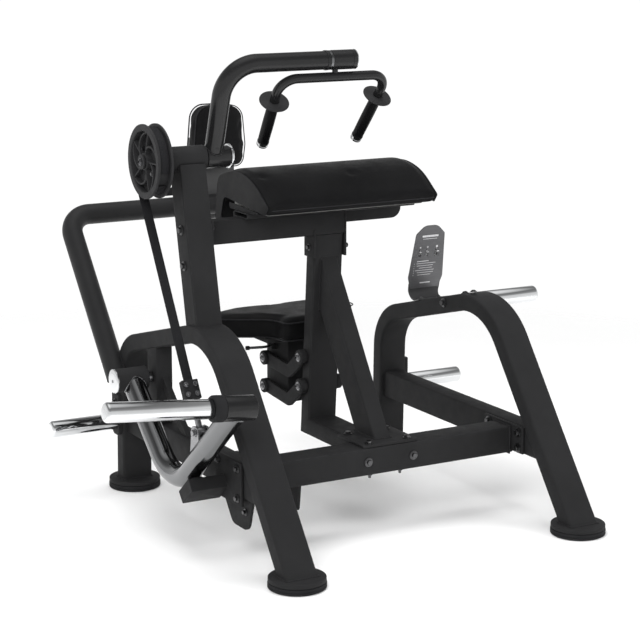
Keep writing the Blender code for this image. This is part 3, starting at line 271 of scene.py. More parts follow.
COAT = powder_coat("frame_coat_fine", (0.0180, 0.0180, 0.0186), (0.0214, 0.0214, 0.0221), 0.62, 0.10)
COAT_GLOSS = powder_coat("arm_coat_gloss", (0.0100, 0.0100, 0.0104), (0.0130, 0.0130, 0.0135), 0.15, 0.36)
BOOM_COAT = powder_coat("boom_coat_satin", (0.0150, 0.0150, 0.0155), (0.0180, 0.0180, 0.0186), 0.40, 0.18)
POST_COAT = powder_coat("post_coat_grey", (0.060, 0.060, 0.061), (0.074, 0.074, 0.075), 0.42, 0.25)
CHROME = chrome_plate("chrome_turned", (0.80, 0.81, 0.82), 0.05, 0.13, (1.0, 0.12, 0.12))
CHROME_DARK = chrome_plate("chrome_nickel", (0.205, 0.208, 0.212), 0.10, 0.20, (1.0, 1.0, 1.0))
STEEL = chrome_plate("ground_steel", (0.30, 0.30, 0.31), 0.24, 0.36, (1.0, 0.2, 0.2))
BOLT = chrome_plate("black_zinc", (0.115, 0.115, 0.118), 0.30, 0.42, (1.0, 1.0, 1.0))
PULLEY_BOLT = chrome_plate("zinc_dulled", (0.11, 0.11, 0.115), 0.34, 0.46, (1.0, 1.0, 1.0))
LEATHER = leather_cover("upholstery_grain", (0.0050, 0.0050, 0.0053), (0.0072, 0.0072, 0.0076))
# Painted light: a lighter copy of the upholstery, so the arm pad's end panels read as lit brighter than its top.
LEATHER_PAINTED_LIT = leather_cover("upholstery_painted_lit", (0.013, 0.013, 0.0134), (0.018, 0.018, 0.0186))
THREAD = leather_cover("seam_cord", (0.016, 0.016, 0.017), (0.024, 0.024, 0.026))
RUBBER = rubber_skin("rubber_matt", (0.013, 0.013, 0.014), (0.018, 0.018, 0.019), 700.0, 0.66)
GRIP = rubber_skin("grip_rubber", (0.0035, 0.0035, 0.004), (0.006, 0.006, 0.0065), 500.0, 0.40)
PLASTIC = rubber_skin("moulded_grain", (0.021, 0.021, 0.022), (0.028, 0.028, 0.029), 1100.0, 0.50)
BOARD_DARK = rubber_skin("seat_board_black", (0.010, 0.010, 0.010), (0.015, 0.015, 0.015), 300.0, 0.6)
BELT = woven_belt("belt_weave")
BOARD = board_face("board_grain")
SHEET = brushed_sheet("placard_sheet", (0.120, 0.120, 0.125), (0.145, 0.145, 0.150))
SHEET_DARK = powder_coat("placard_bracket_coat", (0.038, 0.038, 0.039), (0.048, 0.048, 0.049), 0.50, 0.20)
MARK = brushed_sheet("placard_marks", (0.62, 0.62, 0.63), (0.78, 0.78, 0.79))

# ---------------------------------------------------------------- shape builders


def yz(point, x=0.0):
    return Vector((x, point[0], point[1]))


def piece(name, mesh_data, mat, body, angle=35, bevel=0.0, stands_for=()):
    """Turn machine-frame mesh data into a piece that rides on a body."""
    bmesh.ops.recalc_face_normals(mesh_data, faces=mesh_data.faces)
    bmesh.ops.translate(mesh_data, verts=mesh_data.verts, vec=CENTRE)
    mesh = bpy.data.meshes.new(name)
    mesh_data.to_mesh(mesh)
    mesh_data.free()
    obj = bpy.data.objects.new(name, mesh)
    bpy.context.scene.collection.objects.link(obj)
    mesh.materials.append(mat)
    mesh.shade_smooth()
    mesh.set_sharp_from_angle(angle=radians(angle))
    if bevel:
        modifier = obj.modifiers.new("rim", "BEVEL")
        modifier.width = bevel
        modifier.segments = 3
        modifier.limit_method = "ANGLE"
        modifier.angle_limit = radians(40)
        modifier.harden_normals = True
    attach(obj, body)
    if stands_for:
        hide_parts(*stands_for)
    return obj


def circle_loop(radius, count=40):
    return [(radius * cos(2 * pi * i / count), radius * sin(2 * pi * i / count)) for i in range(count)]


def rectangle_loop(width, height, radius=0.006, steps=5):
    loop = []
    for side_x, side_y, start in ((1, 1, 0), (-1, 1, 90), (-1, -1, 180), (1, -1, 270)):
        for i in range(steps + 1):
            angle = radians(start + 90 * i / steps)
            loop.append((side_x * (width / 2 - radius) + radius * cos(angle),
                         side_y * (height / 2 - radius) + radius * sin(angle)))
    return loop


def stations_along(corners, radii, step=radians(4)):
    """Stations (point, tangent) along straight runs joined by arcs."""
    points = [Vector(c) for c in corners]
    stations = [(points[0], (points[1] - points[0]).normalized())]
    for i, radius in enumerate(radii, start=1):
        before = (points[i] - points[i - 1]).normalized()
        after = (points[i + 1] - points[i]).normalized()
        turn = before.angle(after)
        axis = before.cross(after).normalized()
        start = points[i] - before * radius * tan(turn / 2)
        centre = start + axis.cross(before) * radius
        count = max(3, round(turn / step))
        for k in range(count + 1):
            spin = Matrix.Rotation(turn * k / count, 3, axis)
            stations.append((centre + spin @ (start - centre), spin @ before))
    stations.append((points[-1], (points[-1] - points[-2]).normalized()))
    return stations


def sweep(mesh_data, stations, binormal, loop, start_plane=None, end_plane=None, closed=False):
    """Add a swept solid to the mesh data. A loop's first coordinate runs along the binormal."""
    tilts = {0: start_plane, len(stations) - 1: end_plane}
    rings = []
    for index, (point, tangent) in enumerate(stations):
        across = binormal.cross(tangent).normalized()
        ring = []
        for u, v in loop:
            corner = point + binormal * u + across * v
            tilt = tilts.get(index)
            if tilt is not None:
                corner = corner + tangent * ((point - corner).dot(tilt) / tangent.dot(tilt))
            ring.append(mesh_data.verts.new(corner))
        rings.append(ring)
    count = len(loop)
    pairs = list(zip(rings, rings[1:]))
    if closed:
        pairs.append((rings[-1], rings[0]))
    else:
        mesh_data.faces.new(rings[0])
        mesh_data.faces.new(rings[-1])
    for first, second in pairs:
        for i in range(count):
            j = (i + 1) % count
            mesh_data.faces.new((first[i], first[j], second[j], second[i]))
    return mesh_data


def lathe(mesh_data, centre, axis, profile, count=64, hollow=False):
    """Add a turned solid from pairs (along, radius)."""
    side = axis.orthogonal().normalized()
    up = axis.cross(side).normalized()
    rings = []
    for along, radius in profile:
        ring = []
        for i in range(count):
            angle = 2 * pi * i / count
            radial = (side * cos(angle) + up * sin(angle)) * radius
            ring.append(mesh_data.verts.new(Vector(centre) + axis * along + radial))
        rings.append(ring)
    pairs = list(zip(rings, rings[1:]))
    if hollow:
        pairs.append((rings[-1], rings[0]))
    else:
        mesh_data.faces.new(rings[0])
        mesh_data.faces.new(rings[-1])
    for first, second in pairs:
        for i in range(count):
            j = (i + 1) % count
            mesh_data.faces.new((first[i], first[j], second[j], second[i]))
    return mesh_data


def bar_profile(radius, length, edge=0.0015, steps=4):
    """A solid round bar with rounded rims."""
    rim = [(edge - edge * cos(pi / 2 * i / steps), radius - edge + edge * sin(pi / 2 * i / steps))
           for i in range(steps + 1)]
    return rim + [(length - along, r) for along, r in reversed(rim)]


def ring_profile(outer, inner, length, edge=0.0012):
    return ([(0.0, inner + edge * 0.4)] + bar_profile(outer, length, edge)
            + [(length, inner + edge * 0.4), (length - edge * 0.4, inner), (edge * 0.4, inner)])


def dome_profile(radius, length, rise, steps=8):
    """A round bar whose far end is domed by a rise."""
    profile = [(0.0, radius - 0.0008), (0.0008, radius)]
    for i in range(steps + 1):
        angle = pi / 2 * i / steps
        profile.append((length - rise + rise * sin(angle), max(radius * cos(angle) ** 0.55, 0.0006)))
    return profile


def extrude(mesh_data, outline, corner, across, up, depth):
    first = [mesh_data.verts.new(corner + across * a + up * b) for a, b in outline]
    second = [mesh_data.verts.new(corner + across * a + up * b + depth) for a, b in outline]
    mesh_data.faces.new(first)
    mesh_data.faces.new(second)
    for i in range(len(outline)):
        j = (i + 1) % len(outline)
        mesh_data.faces.new((first[i], first[j], second[j], second[i]))
    return mesh_data


def rounded_outline(corners, radii, step=radians(8)):
    outline = []
    count = len(corners)
    for i, radius in enumerate(radii):
        here = Vector(corners[i])
        before = (here - Vector(corners[i - 1])).normalized()
        after = (Vector(corners[(i + 1) % count]) - here).normalized()
        turn = before.angle_signed(after)
        if radius == 0.0:
            outline.append(tuple(here))
            continue
        start = here - before * radius * tan(abs(turn) / 2)
        side = Vector((before.y, -before.x)) * (1 if turn > 0 else -1)
        centre = start + side * radius
        steps = max(2, round(abs(turn) / step))
        for k in range(steps + 1):
            outline.append(tuple(centre + Matrix.Rotation(-turn * k / steps, 2) @ (start - centre)))
    return outline


def hex_bolt(mesh_data, point, normal, size=0.0095, turn=0.3):
    """A washer, a chamfered hexagon head and a shallow domed top."""
    lathe(mesh_data, point, normal, bar_profile(size * 1.35, 0.0016, 0.0005, 2), 28)
    side = normal.orthogonal().normalized()
    up = normal.cross(side).normalized()
    rings = []
    for along, radius in ((0.0014, size), (0.0068, size), (0.0078, size * 0.88)):
        rings.append([mesh_data.verts.new(Vector(point) + normal * along + (
            side * cos(turn + pi * i / 3) + up * sin(turn + pi * i / 3)) * radius) for i in range(6)])
    mesh_data.faces.new(rings[0])
    mesh_data.faces.new(rings[-1])
    for first, second in zip(rings, rings[1:]):
        for i in range(6):
            j = (i + 1) % 6
            mesh_data.faces.new((first[i], first[j], second[j], second[i]))


def button_bolt(mesh_data, point, normal, size=0.0085):
    """A domed button head on a washer with a socket ring."""
    profile = [(0.0, size * 1.35), (0.0014, size * 1.35), (0.0015, size)]
    for i in range(6):
        angle = pi / 2 * i / 5
        profile.append((0.0015 + 0.005 * sin(angle), max(size * cos(angle), size * 0.42)))
    profile += [(0.0030, size * 0.40)]
    lathe(mesh_data, point, normal, profile, 28)


def weld_bead(mesh_data, points, radius=0.0032, seed=0.0, closed=True):
    """A rippled fillet bead that follows a closed or open line of points."""
    dense = []
    count = len(points)
    spans = count if closed else count - 1
    for i in range(spans):
        a = Vector(points[i])
        b = Vector(points[(i + 1) % count])
        steps = max(1, round((b - a).length / 0.0022))
        dense += [a.lerp(b, k / steps) for k in range(steps)]
    if not closed:
        dense.append(Vector(points[-1]))
    rings = []
    total = len(dense)
    for i, point in enumerate(dense):
        ahead = dense[(i + 1) % total] if closed or i + 1 < total else point
        behind = dense[i - 1] if closed or i > 0 else point
        tangent = (ahead - behind).normalized()
        side = tangent.orthogonal().normalized()
        up = tangent.cross(side).normalized()
        size = radius * (1.0 + 0.16 * sin(i * 2.1) + 0.20 * noise.noise(point * 90.0 + Vector((seed, 0, 0))))
        rings.append([mesh_data.verts.new(point + (side * cos(pi * k / 3) + up * sin(pi * k / 3)) * size)
                      for k in range(6)])
    pairs = list(zip(rings, rings[1:]))
    if closed:
        pairs.append((rings[-1], rings[0]))
    else:
        mesh_data.faces.new(rings[0])
        mesh_data.faces.new(rings[-1])
    for first, second in pairs:
        for i in range(6):
            j = (i + 1) % 6
            try:
                mesh_data.faces.new((first[i], first[j], second[j], second[i]))
            except ValueError:
                continue


def dress(node, mat, body="frame", bevel=0.0009, angle=32):
    """A carried-over CAD solid, welded and given rounded rims and its own finish."""
    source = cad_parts[node]
    mesh_data = bmesh.new()
    mesh_data.from_mesh(source.data)
    bmesh.ops.remove_doubles(mesh_data, verts=mesh_data.verts, dist=1e-5)
    bmesh.ops.dissolve_limit(mesh_data, angle_limit=radians(0.6), verts=mesh_data.verts, edges=mesh_data.edges)
    bmesh.ops.translate(mesh_data, verts=mesh_data.verts, vec=-CENTRE)
    return piece(f"{node}_dressed", mesh_data, mat, body, angle, bevel, (node,))


# ---------------------------------------------------------------- frame


def arch_stations(x):
    corners = (yz((-FOOT_Y, FOOT_HEIGHT), x), yz(ARCH_APEX, x), yz(ARCH_REAR, x), yz((FOOT_Y, FOOT_HEIGHT), x))
    return stations_along(corners, (0.196, 0.131), radians(2.5))


def build_arches():
    for side_name, x in (("left", -ARCH_X), ("right", ARCH_X)):
        tube = sweep(bmesh.new(), arch_stations(x), X_DIR, rectangle_loop(ARCH_WIDTH, ARCH_DEPTH, 0.0075), Z_DIR, Z_DIR)
        piece(f"{side_name}_arch_tube", tube, COAT, "frame", 40, 0.0, (f"{side_name}_arch",))
        for end_name, y in (("front", -FOOT_Y), ("rear", FOOT_Y)):
            flange = lathe(bmesh.new(), Vector((x, y, 0.0168)), Z_DIR, bar_profile(FOOT_RADIUS - 0.001, 0.0112, 0.0022),
                           96)
            piece(f"{side_name}_{end_name}_foot_flange", flange, COAT, "frame")
            profile = [(0.0, FOOT_RADIUS - 0.004), (0.0012, FOOT_RADIUS - 0.0012), (0.003, FOOT_RADIUS),
                       (0.0070, FOOT_RADIUS), (0.0076, FOOT_RADIUS - 0.0012), (0.0088, FOOT_RADIUS - 0.0012),
                       (0.0094, FOOT_RADIUS), (0.0130, FOOT_RADIUS), (0.0150, FOOT_RADIUS - 0.0006),
                       (0.0164, FOOT_RADIUS - 0.0025)]
            foot = lathe(bmesh.new(), Vector((x, y, 0.0)), Z_DIR, profile, 96)
            piece(f"{side_name}_{end_name}_rubber_foot", foot, RUBBER, "frame", 30, 0.0,
                  (f"{side_name}_{end_name}_foot",))
            corner = (ARCH_APEX if end_name == "front" else ARCH_REAR)
            slope = (corner[0] - y) / (corner[1] - FOOT_HEIGHT)
            half = ARCH_DEPTH / 2 * sqrt(1 + slope * slope)
            loop = [(x + sx * (ARCH_WIDTH / 2 + 0.0005), y + sy * (half + 0.0005), 0.0282)
                    for sx, sy in ((1, 1), (-1, 1), (-1, -1), (1, -1))]
            bead = bmesh.new()
            weld_bead(bead, loop, 0.0030, x + y)
            piece(f"{side_name}_{end_name}_foot_weld", bead, COAT, "frame", 60)


def rect_ring(centre, u, v, half_u, half_v):
    return [centre + u * (su * half_u) + v * (sv * half_v) for su, sv in ((1, 1), (-1, 1), (-1, -1), (1, -1))]


def build_welds():
    """Weld beads where tubes meet plates and each other."""
    bead = bmesh.new()
    weld_bead(bead, rect_ring(Vector((0.0, CROSS_REAR + 0.0085, 0.204)), X_DIR, Z_DIR, 0.0455, 0.0245), 0.0026, 1.0)
    lean = radians(33.1)
    foot = Vector((0.0, -0.134, CROSS_TOP + 0.0085))
    weld_bead(bead, rect_ring(foot, X_DIR, Y_DIR, 0.0255, 0.0455 / cos(lean)), 0.0026, 2.0)
    for x in (0.383, -0.383):
        weld_bead(bead, rect_ring(Vector((x, -0.190, 0.2005)), Y_DIR, Z_DIR, 0.0405, 0.0380), 0.0026, x)
    column_lean = radians(4.2)
    face = Vector((0.0, cos(column_lean), sin(column_lean)))
    up = Vector((0.0, -sin(column_lean), cos(column_lean)))
    front = Vector((0.0, 0.168 - tan(column_lean) * (0.620 - 0.204), 0.620)) - face * 0.0245
    weld_bead(bead, rect_ring(front, X_DIR, up, 0.0255, 0.0735), 0.0026, 4.0)
    weld_bead(bead, rect_ring(Vector((-0.3812, 0.125, 0.7895)), Y_DIR, Z_DIR, 0.0255, 0.033), 0.0026, 5.0)
    piece("frame_welds", bead, COAT, "frame", 60)


def stacked_bolt(heads, point, normal, size):
    """A bolt head on two washers."""
    lathe(heads, point, normal, bar_profile(size * 1.55, 0.0022, 0.0005, 2), 28)
    hex_bolt(heads, Vector(point) + normal * 0.0022, normal, size)


def build_bolts():
    heads = bmesh.new()
    for side in (-1, 1):
        for y in (-0.262, -0.118):
            for z in (0.183, 0.2285):
                stacked_bolt(heads, Vector((side * 0.3893, y, z)), X_DIR * -side, 0.0085)
        stacked_bolt(heads, Vector((side * 0.067, CROSS_REAR + 0.0085, 0.2005)), Y_DIR, 0.0085)
        hex_bolt(heads, Vector((side * 0.060, -0.212, CROSS_TOP + 0.0085)), Z_DIR, 0.0085)
        hex_bolt(heads, Vector((side * 0.060, -0.104, CROSS_TOP + 0.0085)), Z_DIR, 0.0085)
        stacked_bolt(heads, Vector((side * 0.070, CROSS_FRONT, 0.2005)), -Y_DIR, 0.0080)
        tail = Vector((side * 0.0472, -0.198, 0.1632))
        stacked_bolt(heads, tail, -Z_DIR, 0.0070)
        lathe(heads, tail - Z_DIR * 0.009, -Z_DIR, bar_profile(0.0040, 0.0080, 0.0008, 2), 20)
    for y, z in ((0.071, 0.811), (0.056, 0.718)):
        stacked_bolt(heads, Vector((-0.4642, y, z)), -X_DIR, 0.0085)
    hex_bolt(heads, Vector((-0.0515, 0.127, 0.722)), -X_DIR, 0.0070)
    stacked_bolt(heads, Vector((0.0515, 0.112, 0.722)), X_DIR, 0.0070)
    for y, z in ((0.064, 0.722), (0.064, 0.812)):
        hex_bolt(heads, Vector((-0.3815, y, z)), X_DIR, 0.0065)
    for y, z in ((-0.246, 0.166), (-0.246, 0.244), (-0.134, 0.244)):
        stacked_bolt(heads, Vector((-0.4665, y, z)), -X_DIR, 0.0070)
    stacked_bolt(heads, Vector((0.3828, 0.112, 0.5255)), -X_DIR, 0.0085)
    for y in (0.046, 0.004):
        slope = (ARCH_REAR[1] - ARCH_APEX[1]) / (ARCH_REAR[0] - ARCH_APEX[0])
        z = ARCH_APEX[1] + slope * (y - ARCH_APEX[0]) + ARCH_DEPTH / 2 * sqrt(1 + slope * slope)
        button_bolt(heads, Vector((0.412, y, z)), Vector((0.0, -slope, 1.0)).normalized(), 0.0085)
    for side in (-1, 1):
        button_bolt(heads, Vector((side * 0.030, POST_REAR + 0.0002, 0.751)), Y_DIR, 0.0075)
    stacked_bolt(heads, Vector((-0.4462, -0.2515, 0.128)), -X_DIR, 0.0060)
    piece("frame_bolts", heads, BOLT, "frame", 30)


def build_base():
    for node in ("left_rail", "right_rail", "crossbeam", "centre_column", "column_strut", "left_upright", "top_beam",
                 "pivot_post", "bumper_bracket", "pad_support"):
        dress(node, COAT)
    dress("back_post", POST_COAT)
    dress("pad_board", BOARD)
    dress("weight_bumper", RUBBER)
    for node in ("outer_bearing", "inner_bearing", "weight_pivot_pin"):
        dress(node, STEEL)
    profile = ring_profile(0.034, 0.0235, 0.1185)
    piece("bearing_tube", lathe(bmesh.new(), PIVOT + X_DIR * -0.4975, X_DIR, profile, hollow=True), COAT, "frame",
          35, 0.0, ("bearing_housing",))
    bead = bmesh.new()
    for side in (-1, 1):
        lean = radians(12)
        line = []
        for i in range(13):
            angle = radians(-52 + 104 * i / 12)
            down = Vector((0.0, -sin(lean) * cos(angle) + cos(lean) * sin(angle),
                           -cos(lean) * cos(angle) - sin(lean) * sin(angle)))
            line.append(PIVOT + X_DIR * (-0.426 + side * 0.0385) + down * 0.0345)
        weld_bead(bead, line, 0.0024, side, False)
    piece("housing_welds", bead, COAT, "frame", 60)
    for name, start in (("outer", -0.4968), ("inner", -0.3808)):
        shield = lathe(bmesh.new(), PIVOT + X_DIR * start, X_DIR, ring_profile(0.0230, 0.0135, 0.0010, 0.0003),
                       hollow=True)
        piece(f"{name}_bearing_shield", shield, BOLT, "frame")


def build_boom():
    corners = (yz((0.452, 0.335), -0.492), yz(BOOM_CORNER, -0.492), yz(BOOM_CORNER, 0.0752))
    direction = (corners[1] - corners[0]).normalized()
    binormal = direction.cross(X_DIR).normalized()
    stations = stations_along(corners, (0.068,), radians(4))
    tube = sweep(bmesh.new(), stations, binormal, circle_loop(BOOM_RADIUS, 56))
    piece("boom_tube", tube, BOOM_COAT, "frame", 40, 0.0, ("backrest_boom",))
    for name, at, axis in (("boom_plug", corners[2] + X_DIR * 0.0002, X_DIR), ("boom_foot_plug", corners[0], -direction)):
        cap = lathe(bmesh.new(), at, axis, dome_profile(BOOM_RADIUS + 0.0006, 0.0040, 0.0025), 56)
        piece(name, cap, PLASTIC, "frame")
    bead = bmesh.new()
    face = -ARCH_X - ARCH_WIDTH / 2 - 0.0004
    half = sqrt(BOOM_RADIUS ** 2 - (0.492 + face) ** 2)
    side = direction.cross(X_DIR).normalized()
    for sign in (-1, 1):
        line = [Vector((face, 0.0, 0.0)) + yz((corners[0].y, corners[0].z)) + direction * reach + side * (sign * half)
                for reach in (0.004, 0.070)]
        weld_bead(bead, line, 0.0028, 7.0 + sign, False)
    for x in (-0.0752, 0.0752):
        loop = []
        for i in range(16):
            angle = radians(20 + 140 * i / 15)
            loop.append(yz(BOOM_CORNER, x) + Vector((0.0, sin(angle), cos(angle))) * (BOOM_RADIUS + 0.0006))
        weld_bead(bead, loop, 0.0022, x, False)
    piece("boom_weld", bead, COAT, "frame", 60)
    gusset = bmesh.new()
    outline = rounded_outline(((-0.1750, 0.781), (-0.0752, 0.781), (-0.0752, 0.846)), (0.004, 0.0, 0.010))
    extrude(gusset, outline, Y_DIR * 0.8300, X_DIR, Z_DIR, Y_DIR * 0.006)
    piece("boom_gusset", gusset, COAT, "frame", 35, 0.0008)


# ---------------------------------------------------------------- handle arm


def arm_point(distance, x):
    return PIVOT + Vector((x, -sin(ARM_LEAN) * distance, cos(ARM_LEAN) * distance))


def build_arm():
    corner = arm_point(ARM_LENGTH, ARM_X)
    end = arm_point(ARM_LENGTH, -0.0398)
    binormal = (corner - arm_point(0, ARM_X)).cross(X_DIR).normalized()
    stations = stations_along((arm_point(0.020, ARM_X), corner, end), (0.090,), radians(3))
    tube = sweep(bmesh.new(), stations, binormal, circle_loop(ARM_RADIUS, 56))
    piece("arm_tube", tube, COAT_GLOSS, "handle_arm", 40, 0.0, ("handle_arm",))
    hub = lathe(bmesh.new(), PIVOT + X_DIR * -0.3745, X_DIR, ring_profile(0.029, 0.0130, 0.0665, 0.0016), hollow=True)
    piece("arm_hub_tube", hub, COAT_GLOSS, "handle_arm")
    collar = lathe(bmesh.new(), end - X_DIR * 0.0180, X_DIR, bar_profile(0.0268, 0.0085, 0.0012))
    piece("arm_collar", collar, COAT_GLOSS, "handle_arm")
    polished = lathe(bmesh.new(), end - X_DIR * 0.0085, X_DIR, bar_profile(0.0262, 0.0080, 0.0012))
    piece("arm_collar_ring", polished, CHROME_DARK, "handle_arm")
    cap = lathe(bmesh.new(), PIVOT + X_DIR * -0.3077, X_DIR, dome_profile(0.0325, 0.0090, 0.0040))
    piece("arm_cap_chrome", cap, CHROME, "handle_arm", 60, 0.0, ("arm_end_cap",))
    hole = lathe(bmesh.new(), arm_point(0.0292, ARM_X - 0.002) - Y_DIR * 0.0250, -Y_DIR,
                 [(0.0, 0.0042), (0.0012, 0.0042), (0.0016, 0.0034), (0.0008, 0.0026)], 24)
    piece("arm_vent", hole, PLASTIC, "handle_arm")
    bead = bmesh.new()
    base = arm_point(0.0, ARM_X)
    up = (corner - base).normalized()
    loop = []
    for i in range(24):
        angle = 2 * pi * i / 24
        a = 0.0252 * cos(angle)
        b = 0.0252 * sin(angle)
        loop.append(base + X_DIR * a + up.cross(X_DIR) * b + up * sqrt(0.0293 ** 2 - b * b))
    weld_bead(bead, loop, 0.0026, 9.0)
    piece("arm_weld", bead, COAT_GLOSS, "handle_arm", 60)
    shaft = lathe(bmesh.new(), PIVOT + X_DIR * -0.551, X_DIR, bar_profile(0.0125, 0.242, 0.001), 48)
    piece("shaft_bar", shaft, STEEL, "handle_arm", 35, 0.0, ("pivot_shaft",))


def pulley_rib(ribs, centre, start_turn, bend, width, inner, outer):
    """One rib across the pulley's face, turning by the bend from its inner to its outer radius."""
    steps = 18

    def place(t):
        radius = inner + (outer - inner) * t
        angle = start_turn + bend * t ** 1.8
        return Vector((0.0, radius * cos(angle), radius * sin(angle)))

    stations = []
    for i in range(steps + 1):
        t = i / steps
        stations.append((centre + place(t), (place(t + 0.01) - place(t)).normalized()))
    sweep(ribs, stations, X_DIR, rectangle_loop(0.037, width, 0.0016, 3))


def build_pulley():
    """Two flanges round a drum, a closed web, and curved and straight ribs that leave drop-shaped pockets."""
    centre = PIVOT + X_DIR * WEIGHT_X
    profile = [(-0.022, 0.0815), (-0.022, 0.0955), (-0.0208, 0.0972), (-0.0190, 0.0975), (-0.0160, 0.0975),
               (-0.0150, 0.0965), (-0.0140, 0.084), (0.0140, 0.084), (0.0150, 0.0965), (0.0160, 0.0975),
               (0.0190, 0.0975), (0.0208, 0.0972), (0.022, 0.0955), (0.022, 0.0815), (0.020, 0.0795),
               (0.0, 0.0785), (-0.020, 0.0795)]
    piece("pulley_rim", lathe(bmesh.new(), centre, X_DIR, profile, 96, True), PLASTIC, "handle_arm",
          35, 0.0, ("pulley",))
    hub = lathe(bmesh.new(), centre - X_DIR * 0.0205, X_DIR, ring_profile(0.0225, 0.0129, 0.0425, 0.002), 64, True)
    piece("pulley_hub", hub, PLASTIC, "handle_arm")
    ribs = bmesh.new()
    for k in range(5):
        turn = radians(72 * k)
        pulley_rib(ribs, centre, radians(104) + turn, radians(72), 0.0050, 0.021, 0.0800)
        pulley_rib(ribs, centre, radians(180) + turn, 0.0, 0.0042, 0.021, 0.0800)
    piece("pulley_ribs", ribs, PLASTIC, "handle_arm", 35)
    web = lathe(bmesh.new(), centre - X_DIR * 0.0045, X_DIR, [(0.0, 0.022), (0.0, 0.0795), (0.009, 0.0795),
                                                               (0.009, 0.022)], 64, True)
    piece("pulley_web", web, PLASTIC, "handle_arm")
    retainer = lathe(bmesh.new(), centre - X_DIR * 0.0283, X_DIR, bar_profile(0.0195, 0.006, 0.0012), 48)
    piece("pulley_washer", retainer, PLASTIC, "handle_arm", 35, 0.0, ("pulley_retainer",))
    heads = bmesh.new()
    button_bolt(heads, centre - X_DIR * 0.0284, -X_DIR, 0.0080)
    for degrees in (40, 220):
        spot = centre + Vector((0.0, cos(radians(degrees)), sin(radians(degrees)))) * 0.045
        stud = bar_profile(0.0050, 0.0115, 0.0008)
        lathe(heads, spot - X_DIR * 0.0045, -X_DIR, stud, 24)
        hex_bolt(heads, spot - X_DIR * 0.0045, -X_DIR, 0.0085)
    piece("pulley_screws", heads, PULLEY_BOLT, "handle_arm", 30)


def belt_tangent():
    centre = Vector((PIVOT.y, PIVOT.z))
    offset = Vector(LINK_PIN) - centre
    angle = atan2(offset.y, offset.x) + acos(BELT_RUN_RADIUS / offset.length)
    return centre + Vector((cos(angle), sin(angle))) * BELT_RUN_RADIUS, angle


def build_belt():
    tangent, angle = belt_tangent()
    pin = Vector(LINK_PIN)
    direction = (tangent - pin).normalized()
    loop = rectangle_loop(0.026, 0.0035, 0.0012, 3)
    run = bmesh.new()
    low = yz(pin + direction * 0.1390, WEIGHT_X)
    high = yz(tangent, WEIGHT_X)
    steps = 40
    stations = [(low.lerp(high, i / steps), (high - low).normalized()) for i in range(steps + 1)]
    sweep(run, stations, X_DIR, loop)
    strap = piece("belt_strap", run, BELT, "frame", 40, 0.0, ("belt_run",))
    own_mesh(strap)
    lead = []
    for i in range(25):
        turn = angle + radians(80) * i / 24
        radius = BELT_RUN_RADIUS - 0.0030 * (i / 24) ** 2
        radial = Vector((0.0, cos(turn), sin(turn)))
        lead.append((PIVOT + X_DIR * WEIGHT_X + radial * radius, Vector((0.0, -sin(turn), cos(turn)))))
    piece("belt_lead", sweep(bmesh.new(), lead, X_DIR, loop), BELT, "frame", 40)
    wound = []
    for i in range(91):
        turn = radians(-140) + radians(335) * i / 90
        radial = Vector((0.0, cos(turn), sin(turn)))
        wound.append((PIVOT + X_DIR * WEIGHT_X + radial * 0.088, Vector((0.0, -sin(turn), cos(turn)))))
    piece("belt_wound", sweep(bmesh.new(), wound, X_DIR, loop), BELT, "handle_arm", 40, 0.0,
          ("belt_wrap",))


def build_link():
    pin = Vector(LINK_PIN)
    tangent, _ = belt_tangent()
    direction = yz((tangent - pin).normalized())
    side = X_DIR.cross(direction).normalized()
    base = yz(LINK_PIN, WEIGHT_X)
    clamp = bmesh.new()
    sweep(clamp, [(base + direction * 0.088, direction), (base + direction * 0.138, direction)], X_DIR,
          rectangle_loop(0.046, 0.0095, 0.0020, 3))
    for vert in clamp.verts:
        vert.co += side * 0.0052
    second = bmesh.new()
    sweep(second, [(base + direction * 0.088, direction), (base + direction * 0.138, direction)], X_DIR,
          rectangle_loop(0.046, 0.0095, 0.0020, 3))
    for vert in second.verts:
        vert.co -= side * 0.0052
    piece("clamp_plate_rear", clamp, COAT, "belt_link", 35, 0.0, ("belt_clamp",))
    piece("clamp_plate_front", second, COAT, "belt_link", 35)
    heads = bmesh.new()
    for x in (-0.013, 0.013):
        for reach in (0.100, 0.126):
            for sign in (-1, 1):
                hex_bolt(heads, base + X_DIR * x + direction * reach + side * (sign * 0.0100), side * sign, 0.0050)
    piece("clamp_bolts", heads, STEEL, "belt_link", 30)
    rod = bmesh.new()
    lathe(rod, base + direction * 0.0125, direction, bar_profile(0.008, 0.0750, 0.0008), 40)
    lathe(rod, base + direction * 0.060, direction, bar_profile(0.0125, 0.010, 0.0012), 6)
    lathe(rod, base - X_DIR * 0.009, X_DIR, ring_profile(0.015, 0.0064, 0.018), 48, True)
    piece("clamp_tie_rod", rod, STEEL, "belt_link", 35, 0.0, ("clamp_rod",))


# ---------------------------------------------------------------- swivel handle


